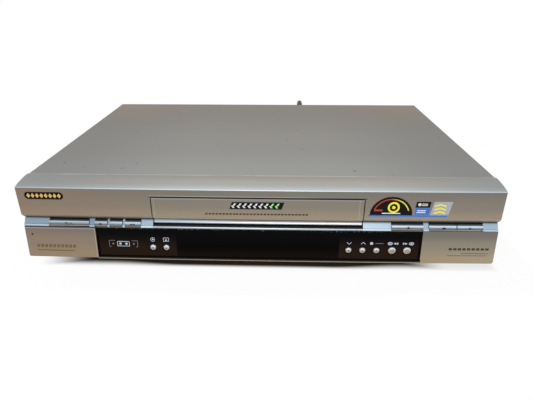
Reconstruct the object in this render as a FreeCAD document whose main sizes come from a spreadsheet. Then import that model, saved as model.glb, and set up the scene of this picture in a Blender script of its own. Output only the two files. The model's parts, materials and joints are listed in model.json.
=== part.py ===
import FreeCAD, Part
import math
import os
import re
import Sketcher

Vector = FreeCAD.Vector

doc = FreeCAD.newDocument("VideoRecorder")
sheet = doc.addObject("Spreadsheet::Sheet", "Sizes")
aliases = set()

# Driving sizes in millimetres: name, number, meaning
caseSizes = [
    ("bodyWidth", 430, "over the cover's side walls"),
    ("bodyHeight", 82, "from the floor to the top of the cover"),
    ("caseDepth", 280, "from the front's upper edge at its ends to the rear edge of the cover"),
    ("footHeight", 10, "gap under the tray"),
    ("footRadius", 17, "outer radius of a foot"),
    ("footWall", 2, "moulded wall of a foot"),
    ("footInset", 45, "from the side of the case to a foot's centre"),
    ("footSetback", 52, "from the front's upper edge to a front foot's centre"),
    ("footRearInset", 38, "from the rear edge to a rear foot's centre"),
    ("coverSheet", 0.8, "steel of the top cover"),
    ("coverBend", 2, "outer bend radius of the cover"),
    ("coverLip", 9, "height of the lip folded down at the rear of the cover"),
    ("traySheet", 1, "steel of the bottom tray"),
    ("trayFlange", 14, "height of the tray's side flanges"),
    ("rearSheet", 1.2, "steel of the rear panel"),
    ("fitGap", 0.3, "gap between fixed neighbours"),
    ("ventWidth", 2.2, "width of a vent slot"),
    ("ventLength", 26, "length of a vent slot"),
    ("ventPitch", 6, "spacing of the vent slots"),
    ("screwRadius", 1.5, "shank of a case screw"),
    ("screwHead", 3, "radius of a case screw's head"),
    ("screwHeadHeight", 1.8, "height of a case screw's head"),
    ("screwLength", 6, "length of a case screw under its head"),
    ("screwRise", 22, "height of the side screws above the tray's underside"),
    ("socketReach", 9.4, "how far the aerial sockets stand out behind the case"),
]
frontSizes = [
    ("frontBow", 1.66, "how far the front bulges at its middle"),
    ("crownDepth", 23.3, "from the front's upper edge back to the cover"),
    ("crownDrop", 3.26, "fall of the crown from the cover to the upper edge"),
    ("browRise", 42.5, "height of the brow's lower edge above the tray's underside"),
    ("browOut", 1.84, "how far the brow's lower edge stands in front of its upper edge"),
    ("stripRise", 37.6, "height of the top of the trim strip"),
    ("stripIn", 1.58, "how far the top of the trim strip lies behind the upper edge"),
    ("shelfRise", 30.7, "height of the shelf under the trim strip"),
    ("shelfOut", 2.8, "how far the lower face starts in front of the upper edge"),
    ("chinOut", 7.78, "how far the bottom edge stands in front of the upper edge"),
    ("frontWall", 2.5, "moulded wall of the front"),
    ("frontFloor", 1.5, "wall of the front's underside"),
    ("channelDepth", 4.5, "depth of the button channel"),
    ("channelRoof", 2, "wall over and under the button channel"),
    ("lapDepth", 8, "how far the front laps under the cover"),
    ("lapWall", 2, "thickness of the lapping rib"),
    ("edgeRadius", 0.7, "rounding of the upper edge"),
    ("browCorner", 3.5, "rounding of the brow's lower corners"),
    ("chinCorner", 2, "rounding of the bottom corners"),
]
doorSizes = [
    ("openingWidth", 189.6, "width of the cassette opening"),
    ("openingTopRise", 61.5, "height of the top of the cassette opening"),
    ("slotFloorRise", 32.7, "height of the cassette opening's sill"),
    ("doorGap", 0.9, "gap round the cassette door"),
    ("doorCorner", 2.2, "rounding of the opening's upper corners"),
    ("doorLip", 0.7, "thickness of the front over the hinge recess"),
    ("doorWall", 1.9, "thickness of the door"),
    ("doorAxisDrop", 0.6, "from the opening's top down to the hinge axis"),
    ("doorAxisIn", 2.2, "how far the hinge axis lies behind the upper edge"),
    ("doorPin", 0.9, "radius of the door's hinge pins"),
    ("doorRecess", 1.7, "height of the recess over the opening for the hinge"),
    ("doorPinReach", 2.4, "length of a hinge pin"),
    ("pinClearance", 0.06, "running clearance of a hinge pin"),
    ("noseRadius", 1.4, "rounding of the door's finger nose"),
    ("noseTopRise", 36.9, "height of the top of the finger nose"),
    ("noseBottomRise", 34.4, "height of the bottom of the finger nose"),
    ("flapRight", -149.1, "right edge of the socket flap"),
    ("flapWall", 2.5, "thickness of the socket flap"),
    ("flapSkin", 0.7, "face of the flap left in front of a hinge lug"),
    ("flapSeat", 4.9, "depth cut away for the flap"),
    ("flapAxisIn", 2.2, "hinge axis behind the flap's face"),
    ("flapAxisRise", 1.9, "hinge axis above the tray's underside"),
    ("flapPin", 0.5, "radius of the flap's hinge pin"),
    ("flapNotch", 4, "width of the notch round a hinge lug"),
    ("flapLug", 3.2, "width of a hinge lug"),
    ("flapLugRadius", 1.1, "outer radius of a hinge lug"),
    ("flapInset", 12, "from the flap's ends to the middle of a hinge lug"),
    ("windowWidth", 297.4, "width of the display window's opening"),
    ("windowFloorRise", 1.7, "height of the display window's lower edge"),
    ("windowWall", 2.2, "thickness of the display window"),
    ("windowSink", 0.3, "how far the window lies behind the front's face"),
    ("windowEar", 3.2, "length of the ears behind the front's wall"),
    ("trimWall", 1.6, "wall of the trim strip"),
    ("trimLip", 0.7, "thickness of the trim strip's lower flange"),
    ("trimLipTop", 1.9, "height of the trim strip's bright lip"),
]
buttonSizes = [
    ("powerLeft", -191.2, "power button, left end"),
    ("powerRight", -154.1, "power button, right end"),
    ("timerLeft", -148.6, "timer button, left end"),
    ("timerRight", -137.3, "timer button, right end"),
    ("searchLeft", -134.8, "search button, left end"),
    ("searchRight", -123.2, "search button, right end"),
    ("rewindLeft", -120.6, "rewind button, left end"),
    ("rewindRight", -106.2, "rewind button, right end"),
    ("ejectLeft", 120.3, "eject button, left end"),
    ("ejectRight", 148.3, "eject button, right end"),
    ("stopLeft", 153.6, "stop button, left end"),
    ("stopRight", 177.7, "stop button, right end"),
    ("playLeft", 178.6, "play button, left end"),
    ("playRight", 201.1, "play button, right end"),
    ("buttonRise", 34, "height of the button centres above the tray's underside"),
    ("buttonHalf", 2.2, "half the height of a button"),
    ("buttonRound", 2.25, "radius of a button's rounded face"),
    ("buttonSet", 0.2, "centre of the rounded face behind the upper edge"),
    ("buttonGap", 0.35, "gap round a button"),
    ("buttonFlange", 0.9, "flange that stops a button from coming out"),
    ("buttonTravel", 1, "travel of a strip button"),
    ("refreshPlace", -96.4, "first round key, across"),
    ("picturePlace", -84, "second round key, across"),
    ("downPlace", 83.2, "channel down key, across"),
    ("upPlace", 95.8, "channel up key, across"),
    ("recordPlace", 108.5, "record key, across"),
    ("reviewPlace", 122.6, "review key, across"),
    ("cuePlace", 136.2, "cue key, across"),
    ("keyRise", 11.7, "height of the round keys"),
    ("keySmall", 2.7, "radius of a small round key"),
    ("keyLarge", 3.4, "radius of a large round key"),
    ("keyGap", 0.3, "gap round a key"),
    ("keyRecess", 0.9, "recess round a key"),
    ("keyProud", 0.6, "how far a key stands out"),
    ("keyTravel", 0.8, "travel of a round key"),
    ("stemHalf", 1.4, "half the width of a button's stem"),
    ("switchHeight", 3.6, "height of a switch with its plunger"),
    ("switchBody", 2.9, "height of a switch without its plunger"),
    ("plungerRadius", 1.6, "radius of a switch plunger"),
    ("switchHalf", 3, "half the width of a switch"),
]
boardSizes = [
    ("boardWall", 1.6, "thickness of a circuit board"),
    ("boardRise", 6, "height of the flat boards above the tray's underside"),
    ("frontBoardSetback", 14, "from the front's upper edge to the switch board"),
    ("frontBoardLeft", -206, "left end of the switch board"),
    ("frontBoardRight", 206, "right end of the switch board"),
    ("frontBoardNotch", 100.5, "half the width of the switch board's notch"),
    ("frontBoardLow", 29.3, "height of the switch board under the cassette"),
    ("frontBoardHigh", 39.5, "height of the switch board's wings"),
    ("displayHalf", 62, "half the width of the display tube"),
    ("displayFloor", 8, "height of the display tube's lower edge"),
    ("displayTop", 27, "height of the display tube's upper edge"),
    ("displayDepth", 12, "depth of the display tube with its holder"),
]
transportSizes = [
    ("deckWidth", 216, "width of the deck plate"),
    ("deckSheet", 1.5, "steel of the deck plate"),
    ("deckRise", 9, "height of the deck plate's top above the tray's underside"),
    ("deckSetback", 17.5, "from the front's upper edge to the deck plate"),
    ("deckDepth", 186, "depth of the deck plate"),
    ("cassetteWidth", 188, "width of a cassette"),
    ("cassetteHeight", 25, "height of a cassette"),
    ("loadTravel", 50, "travel of the loading rack"),
    ("loadDrop", 19.3, "drop of the cassette holder"),
    ("holderFloorRise", 33.8, "cassette's underside above the tray's underside before it drops"),
    ("holderSheet", 1, "steel of the cassette holder"),
    ("holderLedge", 9, "width of the ledges that carry the cassette"),
    ("holderFront", 32, "from the upper edge to the front of the holder's walls"),
    ("holderLip", 18, "from the upper edge to the front of the holder's ledges"),
    ("holderStop", 73, "from the upper edge to the holder's rear stop"),
    ("holderHead", 1.3, "play over a cassette in the holder"),
    ("holderPinRise", 12, "guide pins above the holder's ledges"),
    ("holderPinFront", 40, "from the upper edge to the front guide pins"),
    ("holderPinRear", 66, "from the upper edge to the rear guide pins"),
    ("holderPin", 1.5, "radius of the holder's guide pins"),
    ("rackSheet", 1, "steel of the loading rack"),
    ("rackLength", 72, "length of the loading rack"),
    ("rackSetback", 29, "from the upper edge to the front of the loading rack"),
    ("rackFloorRise", 20, "height of the loading rack's lower edge"),
    ("rackTopRise", 58, "height of the loading rack's side plates"),
    ("rackBridgeRise", 65, "height of the underside of the rack's bridge"),
    ("rackLugRise", 55, "height of the rack's running lugs"),
    ("pinReach", 1.5, "how far pins and lugs stand through a loading frame"),
    ("frameSheet", 1.2, "steel of the loading frames"),
    ("frameFlange", 8, "foot flange of a loading frame"),
    ("frameSetback", 27, "from the upper edge to the front of a loading frame"),
    ("frameLength", 128, "length of a loading frame"),
    ("frameTopRise", 62, "height of a loading frame"),
    ("plateGap", 0.6, "gap between holder, rack and frame"),
    ("reelSetback", 64, "from the upper edge to the reel centres"),
    ("reelSpacing", 92, "distance between the reel centres"),
    ("reelFlange", 15, "radius of a reel table"),
    ("reelHub", 9.8, "radius of a reel table's hub"),
    ("drumSetback", 162.5, "from the upper edge to the head drum's centre"),
    ("drumRadius", 31, "radius of the head drum"),
    ("drumLower", 15, "height of the fixed drum"),
    ("drumUpper", 14, "height of the turning drum"),
    ("drumGap", 0.4, "gap between the two drums"),
    ("drumFoot", 3, "height of the drum's seat on the deck"),
    ("drumTilt", 5, "lean of the head drum"),
    ("runningGap", 0.05, "running clearance of a shaft"),
    ("capstanPlace", 53, "capstan, across"),
    ("capstanSetback", 135, "from the upper edge to the capstan"),
    ("capstanRadius", 1.5, "radius of the capstan"),
    ("capstanRise", 31, "height of the capstan's top above the deck"),
    ("rotorRadius", 24, "radius of the capstan's rotor"),
    ("rotorHeight", 2.6, "height of the capstan's rotor"),
    ("bearingRadius", 3.5, "radius of the capstan's bearing"),
    ("bearingHeight", 4, "height of the capstan's bearing"),
    ("pinchPlace", 74, "pinch arm's pivot, across"),
    ("pinchSetback", 147, "from the upper edge to the pinch arm's pivot"),
    ("pinchAngle", 253.5, "direction of the pinch arm at rest"),
    ("pinchRoller", 6, "radius of the pinch roller"),
    ("pinchArm", 22, "length of the pinch arm"),
    ("pivotRadius", 2, "radius of a fixed peg on the deck"),
    ("guideInner", 33, "guide carriages at rest, across"),
    ("guideSetback", 106, "from the upper edge to the guide carriages at rest"),
    ("guideTravel", 50, "travel of the guide carriages"),
    ("guideLean", 9, "angle of the guide slots from straight back"),
    ("guideSlot", 2, "half the width of a guide slot"),
    ("guidePost", 3, "radius of a guide post"),
    ("guideHeight", 26, "height of a guide post above the deck"),
    ("camPlace", -80, "cam gear, across"),
    ("camSetback", 178, "from the upper edge to the cam gear"),
    ("gearModule", 1, "module of the loading gears"),
    ("camTeeth", 36, "teeth of the cam gear"),
    ("pinionTeeth", 12, "teeth of the motor pinion"),
    ("gearHeight", 4, "face width of the loading gears"),
    ("gearSlack", 0.25, "extra distance between the gear centres"),
]
leadSizes = [
    ("cordRadius", 3.5, "radius of the mains lead"),
    ("cordPlace", 50.5, "mains lead, across"),
    ("cordRise", 50, "height of the mains lead's outlet above the tray's underside"),
    ("reliefNeck", 5, "radius of the strain relief in the rear panel"),
    ("reliefLength", 26, "length of the strain relief"),
    ("reliefTilt", 15, "angle by which the strain relief points up"),
    ("leadRise", 38, "run of the lead out of its strain relief"),
    ("coilRadius", 50, "radius of the coil's outer turn"),
    ("coilPitch", 7.7, "step from one turn to the next"),
    ("coilTurns", 2.75, "turns in each of the coil's two layers"),
    ("coilTail", 7, "straight before the coil"),
    ("coilEnd", 32, "straight from the coil to the plug"),
    ("plugCollar", 16, "length of the plug's collar"),
    ("plugBody", 30, "length of the plug's body"),
    ("plugWidth", 35, "width of the plug"),
    ("pinRadius", 2.4, "radius of the plug's pins"),
    ("pinSpacing", 19, "distance between the plug's pins"),
    ("pinLength", 19, "length of the plug's pins"),
]


def enter(rows):
    """Write rows of the sheet below those it has, each number under its own alias."""
    for name, content, meaning in rows:
        line = len(aliases) + 1
        sheet.set(f"A{line}", name)
        sheet.set(f"B{line}", str(content))
        sheet.set(f"C{line}", meaning)
        sheet.setAlias(f"B{line}", name)
        aliases.add(name)


for rows in (caseSizes, frontSizes, doorSizes, buttonSizes, boardSizes, transportSizes, leadSizes):
    enter(rows)

# Places worked out from the driving sizes
enter([
    ("halfWidth", "=bodyWidth / 2", "half the case's width"),
    ("bowRadius", "=(halfWidth ^ 2 + frontBow ^ 2) / (2 * frontBow)", "plan radius of the front"),
    ("frontEdge", "=(chinOut + frontBow - socketReach - caseDepth) / 2", "upper edge at its ends"),
    ("faceY", "=frontEdge - frontBow", "upper edge at the middle"),
    ("bowAxis", "=faceY + bowRadius", "centre of the front's plan arc"),
    ("seamY", "=frontEdge + crownDepth", "front end of the cover"),
    ("rearFace", "=frontEdge + caseDepth", "rear end of the cover"),
    ("panelBack", "=rearFace - coverSheet - fitGap", "outer face of the rear panel"),
    ("panelFront", "=panelBack - rearSheet", "inner face of the rear panel"),
    ("trayTop", "=footHeight + traySheet", "upper face of the tray"),
    ("innerHalf", "=halfWidth - coverSheet - fitGap", "half the width inside the cover"),
    ("innerTop", "=bodyHeight - coverSheet - fitGap", "height inside the cover"),
    ("edgeZ", "=bodyHeight - crownDrop", "height of the upper edge"),
    ("crownRadius", "=(crownDepth ^ 2 + crownDrop ^ 2) / (2 * crownDrop)", "radius of the crown"),
    ("browZ", "=footHeight + browRise", "height of the brow's lower edge"),
    ("browLean", "=browOut / (edgeZ - browZ)", "lean of the brow"),
    ("stripZ", "=footHeight + stripRise", "height of the top of the trim strip"),
    ("shelfZ", "=footHeight + shelfRise", "height of the shelf"),
    ("chinLean", "=(chinOut - shelfOut) / shelfRise", "lean of the lower face"),
    ("webBack", "=faceY + channelDepth + frontWall", "rear of the channel's web at the middle"),
    ("openingTop", "=footHeight + openingTopRise", "top of the cassette opening"),
    ("slotFloor", "=footHeight + slotFloorRise", "sill of the cassette opening"),
    ("doorAxisY", "=faceY + doorAxisIn", "door's hinge axis, depth"),
    ("doorAxisZ", "=openingTop - doorAxisDrop", "door's hinge axis, height"),
    ("doorHalf", "=openingWidth / 2 - doorGap", "half the door's width"),
    ("doorRound", "=doorCorner - doorGap", "rounding of the door's upper corners"),
    ("buttonZ", "=footHeight + buttonRise", "height of the button centres"),
    ("keyZ", "=footHeight + keyRise", "height of the round keys"),
    ("boardTop", "=footHeight + boardRise + boardWall", "upper face of the flat boards"),
    ("frontBoardY", "=frontEdge + frontBoardSetback", "front of the switch board"),
    ("plungerY", "=frontBoardY - switchHeight", "tips of the switch plungers"),
    ("deckTop", "=footHeight + deckRise", "upper face of the deck plate"),
    ("deckUnder", "=deckTop - deckSheet", "underside of the deck plate"),
    ("deckFront", "=frontEdge + deckSetback", "front edge of the deck plate"),
    ("deckBack", "=deckFront + deckDepth", "rear edge of the deck plate"),
    ("holderFloor", "=footHeight + holderFloorRise", "upper face of the holder's ledges"),
    ("holderInner", "=cassetteWidth / 2 + plateGap", "half the width inside the holder"),
    ("holderOuter", "=holderInner + holderSheet", "half the width over the holder"),
    ("rackInner", "=holderOuter + plateGap", "half the width inside the rack"),
    ("rackOuter", "=rackInner + rackSheet", "half the width over the rack"),
    ("frameInner", "=rackOuter + plateGap", "half the width between the loading frames"),
    ("reelY", "=frontEdge + reelSetback", "reel centres, depth"),
    ("drumY", "=frontEdge + drumSetback", "head drum, depth"),
    ("capstanY", "=frontEdge + capstanSetback", "capstan, depth"),
    ("pinchY", "=frontEdge + pinchSetback", "pinch arm's pivot, depth"),
    ("guideY", "=frontEdge + guideSetback", "guide carriages, depth"),
    ("camY", "=frontEdge + camSetback", "cam gear, depth"),
    ("holderPinZ", "=holderFloor + holderPinRise", "height of the holder's guide pins"),
    ("cordZ", "=footHeight + cordRise", "height of the lead's outlet"),
])
doc.recompute()


def bound(words):
    """The expression with each alias written as a cell of the sheet."""
    return re.sub(r"[A-Za-z]\w*", lambda found: f"Sizes.{found[0]}" if found[0] in aliases else found[0], words)


def number(words):
    """What an expression gives with the sheet as it is."""
    answer = sheet.evalExpression(bound(words))
    return float(getattr(answer, "Value", answer))


def rectangle(left, low, right, high):
    return [(left, low), (right, low), (right, high), (left, high)]


def circle(across, up, radius):
    return (across, up, radius)


def polar(centre, radius, angle):
    """A point on a circle, as a pair of expressions."""
    return (f"{centre[0]} + ({radius}) * cos({angle})", f"{centre[1]} + ({radius}) * sin({angle})")


def drawOutline(sketch, corners):
    """A closed outline. A third entry is the radius of an arc to the next corner, plus for anticlockwise."""
    first = sketch.GeometryCount
    count = len(corners)
    points = [Vector(number(corner[0]), number(corner[1]), 0) for corner in corners]
    heads = []
    for place, corner in enumerate(corners):
        start, end = points[place], points[(place + 1) % count]
        if len(corner) < 3:
            sketch.addGeometry(Part.LineSegment(start, end), False)
            heads.append((1, 2))
            continue
        radius = number(corner[2])
        chord = end - start
        rise = math.sqrt(max(radius ** 2 - (chord.Length / 2) ** 2, 0))
        side = Vector(-chord.y, chord.x, 0).normalize() * (rise if radius > 0 else -rise)
        centre = (start + end) / 2 + side
        begin, finish = (start, end) if radius > 0 else (end, start)
        angles = [math.atan2(point.y - centre.y, point.x - centre.x) for point in (begin, finish)]
        if angles[1] < angles[0]:
            angles[1] += 2 * math.pi
        round_edge = Part.Circle(centre, Vector(0, 0, 1), abs(radius))
        sketch.addGeometry(Part.ArcOfCircle(round_edge, angles[0], angles[1]), False)
        heads.append((1, 2) if radius > 0 else (2, 1))
    for place, corner in enumerate(corners):
        follower = (place + 1) % count
        sketch.addConstraint(Sketcher.Constraint(
            "Coincident", first + place, heads[place][1], first + follower, heads[follower][0]))
    for place, corner in enumerate(corners):
        for kind, words, amount in (("DistanceX", corner[0], points[place].x),
                                    ("DistanceY", corner[1], points[place].y)):
            row = sketch.addConstraint(Sketcher.Constraint(kind, -1, 1, first + place, heads[place][0], amount))
            sketch.setExpression(f"Constraints[{row}]", bound(words))
        if len(corner) > 2:
            row = sketch.addConstraint(Sketcher.Constraint("Radius", first + place, abs(number(corner[2]))))
            sketch.setExpression(f"Constraints[{row}]", bound(f"abs({corner[2]})"))


def drawCircle(sketch, across, up, radius):
    place = sketch.addGeometry(
        Part.Circle(Vector(number(across), number(up), 0), Vector(0, 0, 1), number(radius)), False)
    for kind, words in (("DistanceX", across), ("DistanceY", up)):
        row = sketch.addConstraint(Sketcher.Constraint(kind, -1, 1, place, 3, number(words)))
        sketch.setExpression(f"Constraints[{row}]", bound(words))
    row = sketch.addConstraint(Sketcher.Constraint("Radius", place, number(radius)))
    sketch.setExpression(f"Constraints[{row}]", bound(radius))


class Piece:
    """A body that features are added to. Starts and ends are places along the sketch plane's own axis."""

    normals = {"XY": (1, False), "XZ": (-1, True), "YZ": (1, False)}

    def __init__(self, label):
        self.body = doc.addObject("PartDesign::Body", label)
        self.body.Label = label

    def sketch(self, role, place, shapes):
        """A sketch on one of the body's own planes, moved to place, which holds x, y and z."""
        drawing = self.body.newObject("Sketcher::SketchObject", "Outline")
        plane = next(part for part in self.body.Origin.OriginFeatures if part.Role == role + "_Plane")
        drawing.AttachmentSupport = (plane, [""])
        drawing.MapMode = "FlatFace"
        across, along, up = place
        moves = {"XY": (across, along, up), "XZ": (across, up, f"-({along})"), "YZ": (along, up, across)}[role]
        for axis, words in zip("xyz", moves):
            if words not in ("0", "-(0)"):
                drawing.setExpression(f"AttachmentOffset.Base.{axis}", bound(words))
        for shape in shapes:
            if isinstance(shape, tuple):
                drawCircle(drawing, *shape)
            else:
                drawOutline(drawing, shape)
        return drawing

    def level(self, role, start):
        return {"XY": ("0", "0", start), "XZ": ("0", start, "0"), "YZ": (start, "0", "0")}[role]

    def pad(self, role, start, end, *shapes):
        feature = self.body.newObject("PartDesign::Pad", "Pad")
        feature.Profile = self.sketch(role, self.level(role, start), shapes)
        feature.setExpression("Length", bound(f"({end}) - ({start})"))
        feature.Reversed = self.normals[role][1]
        return feature

    def pocket(self, role, start, end, *shapes):
        feature = self.body.newObject("PartDesign::Pocket", "Pocket")
        feature.Profile = self.sketch(role, self.level(role, start), shapes)
        feature.setExpression("Length", bound(f"({end}) - ({start})"))
        feature.Reversed = not self.normals[role][1]
        return feature

    def turned(self, kind, role, place, axis, shapes):
        feature = self.body.newObject("PartDesign::" + kind, kind)
        drawing = self.sketch(role, place, shapes)
        feature.Profile = drawing
        feature.ReferenceAxis = (drawing, [axis])
        feature.Angle = 360
        return feature

    def turn(self, role, place, *shapes):
        """Turned about the sketch's upright line, which stands at place."""
        return self.turned("Revolution", role, place, "V_Axis", shapes)

    def bowed(self, kind, corners, half):
        """Corners in depth and height at the middle, swept along the front's plan arc to both sides."""
        feature = self.body.newObject("PartDesign::" + kind, "Bowed" + kind)
        drawing = self.sketch("YZ", ("0", "0", "0"), [corners])
        centre = number("bowAxis")
        line = drawing.addGeometry(Part.LineSegment(Vector(centre, 0, 0), Vector(centre, 50, 0)), True)
        drawing.addConstraint(Sketcher.Constraint("Vertical", line))
        row = drawing.addConstraint(Sketcher.Constraint("DistanceX", -1, 1, line, 1, centre))
        drawing.setExpression(f"Constraints[{row}]", bound("bowAxis"))
        drawing.addConstraint(Sketcher.Constraint("DistanceY", -1, 1, line, 1, 0.0))
        drawing.addConstraint(Sketcher.Constraint("DistanceY", line, 1, line, 2, 50.0))
        feature.Profile = drawing
        feature.ReferenceAxis = (drawing, ["Axis0"])
        feature.Midplane = True
        feature.setExpression("Angle", bound(f"2 * asin(({half}) / bowRadius)"))
        return feature

    def trim(self, left, right):
        """Cut the body square at two places across."""
        far = "bodyWidth"
        beyond = [rectangle(f"-{far}", "-bodyHeight", left, "2 * bodyHeight"),
                  rectangle(right, "-bodyHeight", far, "2 * bodyHeight")]
        return self.pocket("XZ", "frontEdge - caseDepth", "rearFace + caseDepth", *beyond)

    def soften(self, radius, chosen):
        """Round the edges that a test picks out of the shape as it is."""
        doc.recompute()
        shape = self.body.Tip.Shape
        names = [f"Edge{place + 1}" for place, edge in enumerate(shape.Edges) if chosen(edge)]
        if not names:
            raise ValueError(f"{self.body.Label}: no edge to round")
        base = self.body.Tip
        feature = self.body.newObject("PartDesign::Fillet", "Rounding")
        feature.Base = (base, names)
        feature.setExpression("Radius", bound(radius))
        return feature


nodes = {}


def keep(label, thing):
    """Note an object as a sub-part to write, under its own label."""
    thing.Label = label
    nodes[label] = thing
    return thing


def cut(label, base, *tools):
    """The base less its tools."""
    tool = tools[0] if len(tools) == 1 else joined(label + "_cutters", *tools)
    result = doc.addObject("Part::Cut", label)
    result.Base, result.Tool = base, tool
    return result


def joined(label, *things):
    result = doc.addObject("Part::MultiFuse", label)
    result.Shapes = list(things)
    result.Refine = True
    return result


def faceAt(across, up):
    """Depth of the lower face at a place across and up."""
    return (f"(frontEdge - frontBow * (1 - (({across}) / halfWidth) ^ 2)"
            f" - shelfOut - chinLean * (shelfZ - ({up})))")


def bowAt(across):
    """How far the front has fallen back from its middle at a place across."""
    return f"(frontBow * (({across}) / halfWidth) ^ 2)"


def nearPoint(edge, across=None, along=None, up=None, slack=0.05):
    """Whether every end of an edge lies at the given places."""
    wanted = [(0, across), (1, along), (2, up)]
    return all(abs(vertex.Point[axis] - place) < slack
               for vertex in edge.Vertexes for axis, place in wanted if place is not None)


def makeCover():
    """Sheet steel folded over the top and both sides, with a lip folded down at the rear."""
    piece = Piece("top_cover")
    outer, inner = "coverBend", "coverBend - coverSheet"
    side, top = "halfWidth", "bodyHeight"
    profile = [
        (f"-{side}", "footHeight"), (f"-{side} + coverSheet", "footHeight"),
        (f"-{side} + coverSheet", f"{top} - coverBend", f"-({inner})"),
        (f"-{side} + coverBend", f"{top} - coverSheet"),
        (f"{side} - coverBend", f"{top} - coverSheet", f"-({inner})"),
        (f"{side} - coverSheet", f"{top} - coverBend"), (f"{side} - coverSheet", "footHeight"),
        (side, "footHeight"), (side, f"{top} - coverBend", outer),
        (f"{side} - coverBend", top), (f"-{side} + coverBend", top, outer),
        (f"-{side}", f"{top} - coverBend"),
    ]
    piece.pad("XZ", "seamY", "rearFace", profile)
    piece.pad("XZ", "rearFace - coverSheet", "rearFace",
              rectangle("-halfWidth + coverBend", f"{top} - coverLip", "halfWidth - coverBend",
                        f"{top} - coverSheet / 2"))
    slots = []
    for place in range(9):
        start = f"rearFace - 30 - {place} * ventPitch"
        slots.append(rectangle(f"{start} - ventWidth", "footHeight + 34", start,
                               "footHeight + 34 + ventLength"))
    piece.pocket("YZ", "-halfWidth - 1", "halfWidth + 1", *slots)
    holes = [circle(place, "footHeight + screwRise", "screwRadius + fitGap") for place in sideScrewPlaces]
    piece.pocket("YZ", "-halfWidth - 1", "halfWidth + 1", *holes)
    rear = [circle(place, "bodyHeight - coverLip / 2 - coverSheet", "screwRadius + fitGap")
            for place in rearScrewPlaces]
    piece.pocket("XZ", "rearFace - 2 * coverSheet", "rearFace + 1", *rear)
    keep("top_cover", piece.body)


sideScrewPlaces = ["seamY + 40", "rearFace - 100"]
rearScrewPlaces = ["-halfWidth + 40", "0", "halfWidth - 40"]


def makeTray():
    """Shallow steel tray that everything inside stands on."""
    piece = Piece("chassis_tray")
    edge = "innerHalf"
    wall = "traySheet"
    high = "footHeight + trayFlange"
    profile = [
        (f"-{edge}", "footHeight"), (edge, "footHeight"), (edge, high), (f"{edge} - {wall}", high),
        (f"{edge} - {wall}", "trayTop"), (f"-{edge} + {wall}", "trayTop"), (f"-{edge} + {wall}", high),
        (f"-{edge}", high),
    ]
    piece.pad("XZ", "seamY + fitGap", "panelBack", profile)
    holes = [circle(place, "footHeight + screwRise", "screwRadius + runningGap") for place in sideScrewPlaces]
    slots = []
    for side in (-1, 1):
        for place in range(10):
            start = f"{side} * 120 - 27 + {place} * ventPitch"
            slots.append(rectangle(start, "rearFace - 110", f"{start} + ventWidth",
                                   "rearFace - 110 + ventLength"))
    piece.pocket("XY", "footHeight - 1", "trayTop + 1", *slots)
    tabs = [rectangle(f"{place} - 7", high, f"{place} + 7", "footHeight + screwRise + 5")
            for place in sideScrewPlaces]
    for start, end in ((f"-{edge}", f"-{edge} + {wall}"), (f"{edge} - {wall}", edge)):
        piece.pad("YZ", start, end, *tabs)
    piece.pocket("YZ", f"-{edge} - 1", f"{edge} + 1", *holes)
    keep("chassis_tray", piece.body)


def makeFeet():
    """Four moulded cups under the tray."""
    for row, along in (("front", "frontEdge + footSetback"), ("rear", "rearFace - footRearInset")):
        for hand, side in (("left", -1), ("right", 1)):
            label = f"foot_{row}_{hand}"
            piece = Piece(label)
            outline = [
                ("0", "footHeight - footWall"), ("footRadius - footWall", "footHeight - footWall"),
                ("footRadius - 2 * footWall", "0"), ("footRadius - footWall / 2", "0"),
                ("footRadius", "footHeight"), ("0", "footHeight"),
            ]
            piece.turn("XZ", (f"{side} * (halfWidth - footInset)", along, "0"), outline)
            keep(label, piece.body)


def makeScrews():
    """Pan head screws through the cover, alike on both sides and across the rear."""
    shapes = []
    head = [("0", "-screwLength"), ("screwRadius", "-screwLength"), ("screwRadius", "0"), ("screwHead", "0"),
            ("screwHead * 0.8", "screwHeadHeight"), ("0", "screwHeadHeight")]
    for place in sideScrewPlaces:
        for side in (-1, 1):
            shapes.append(("side", side, place, "footHeight + screwRise"))
    for place in rearScrewPlaces:
        shapes.append(("rear", 1, place, "bodyHeight - coverLip / 2 - coverSheet"))
    screws = []
    for facing, side, place, up in shapes:
        piece = Piece("screw")
        piece.turn("XZ", ("0", "0", "0"), head)
        piece.body.Placement = FreeCAD.Placement(
            Vector(0, 0, 0), FreeCAD.Rotation(Vector(0, 1, 0), 90 * side) if facing == "side"
            else FreeCAD.Rotation(Vector(1, 0, 0), -90))
        if facing == "side":
            moves = (f"{side} * halfWidth", place, up)
        else:
            moves = (place, "rearFace", up)
        for axis, words in zip("xyz", moves):
            piece.body.setExpression(f"Placement.Base.{axis}", bound(words))
        screws.append(piece.body)
    group = doc.addObject("Part::Compound", "case_screws")
    group.Links = screws
    keep("case_screws", group)


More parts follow.
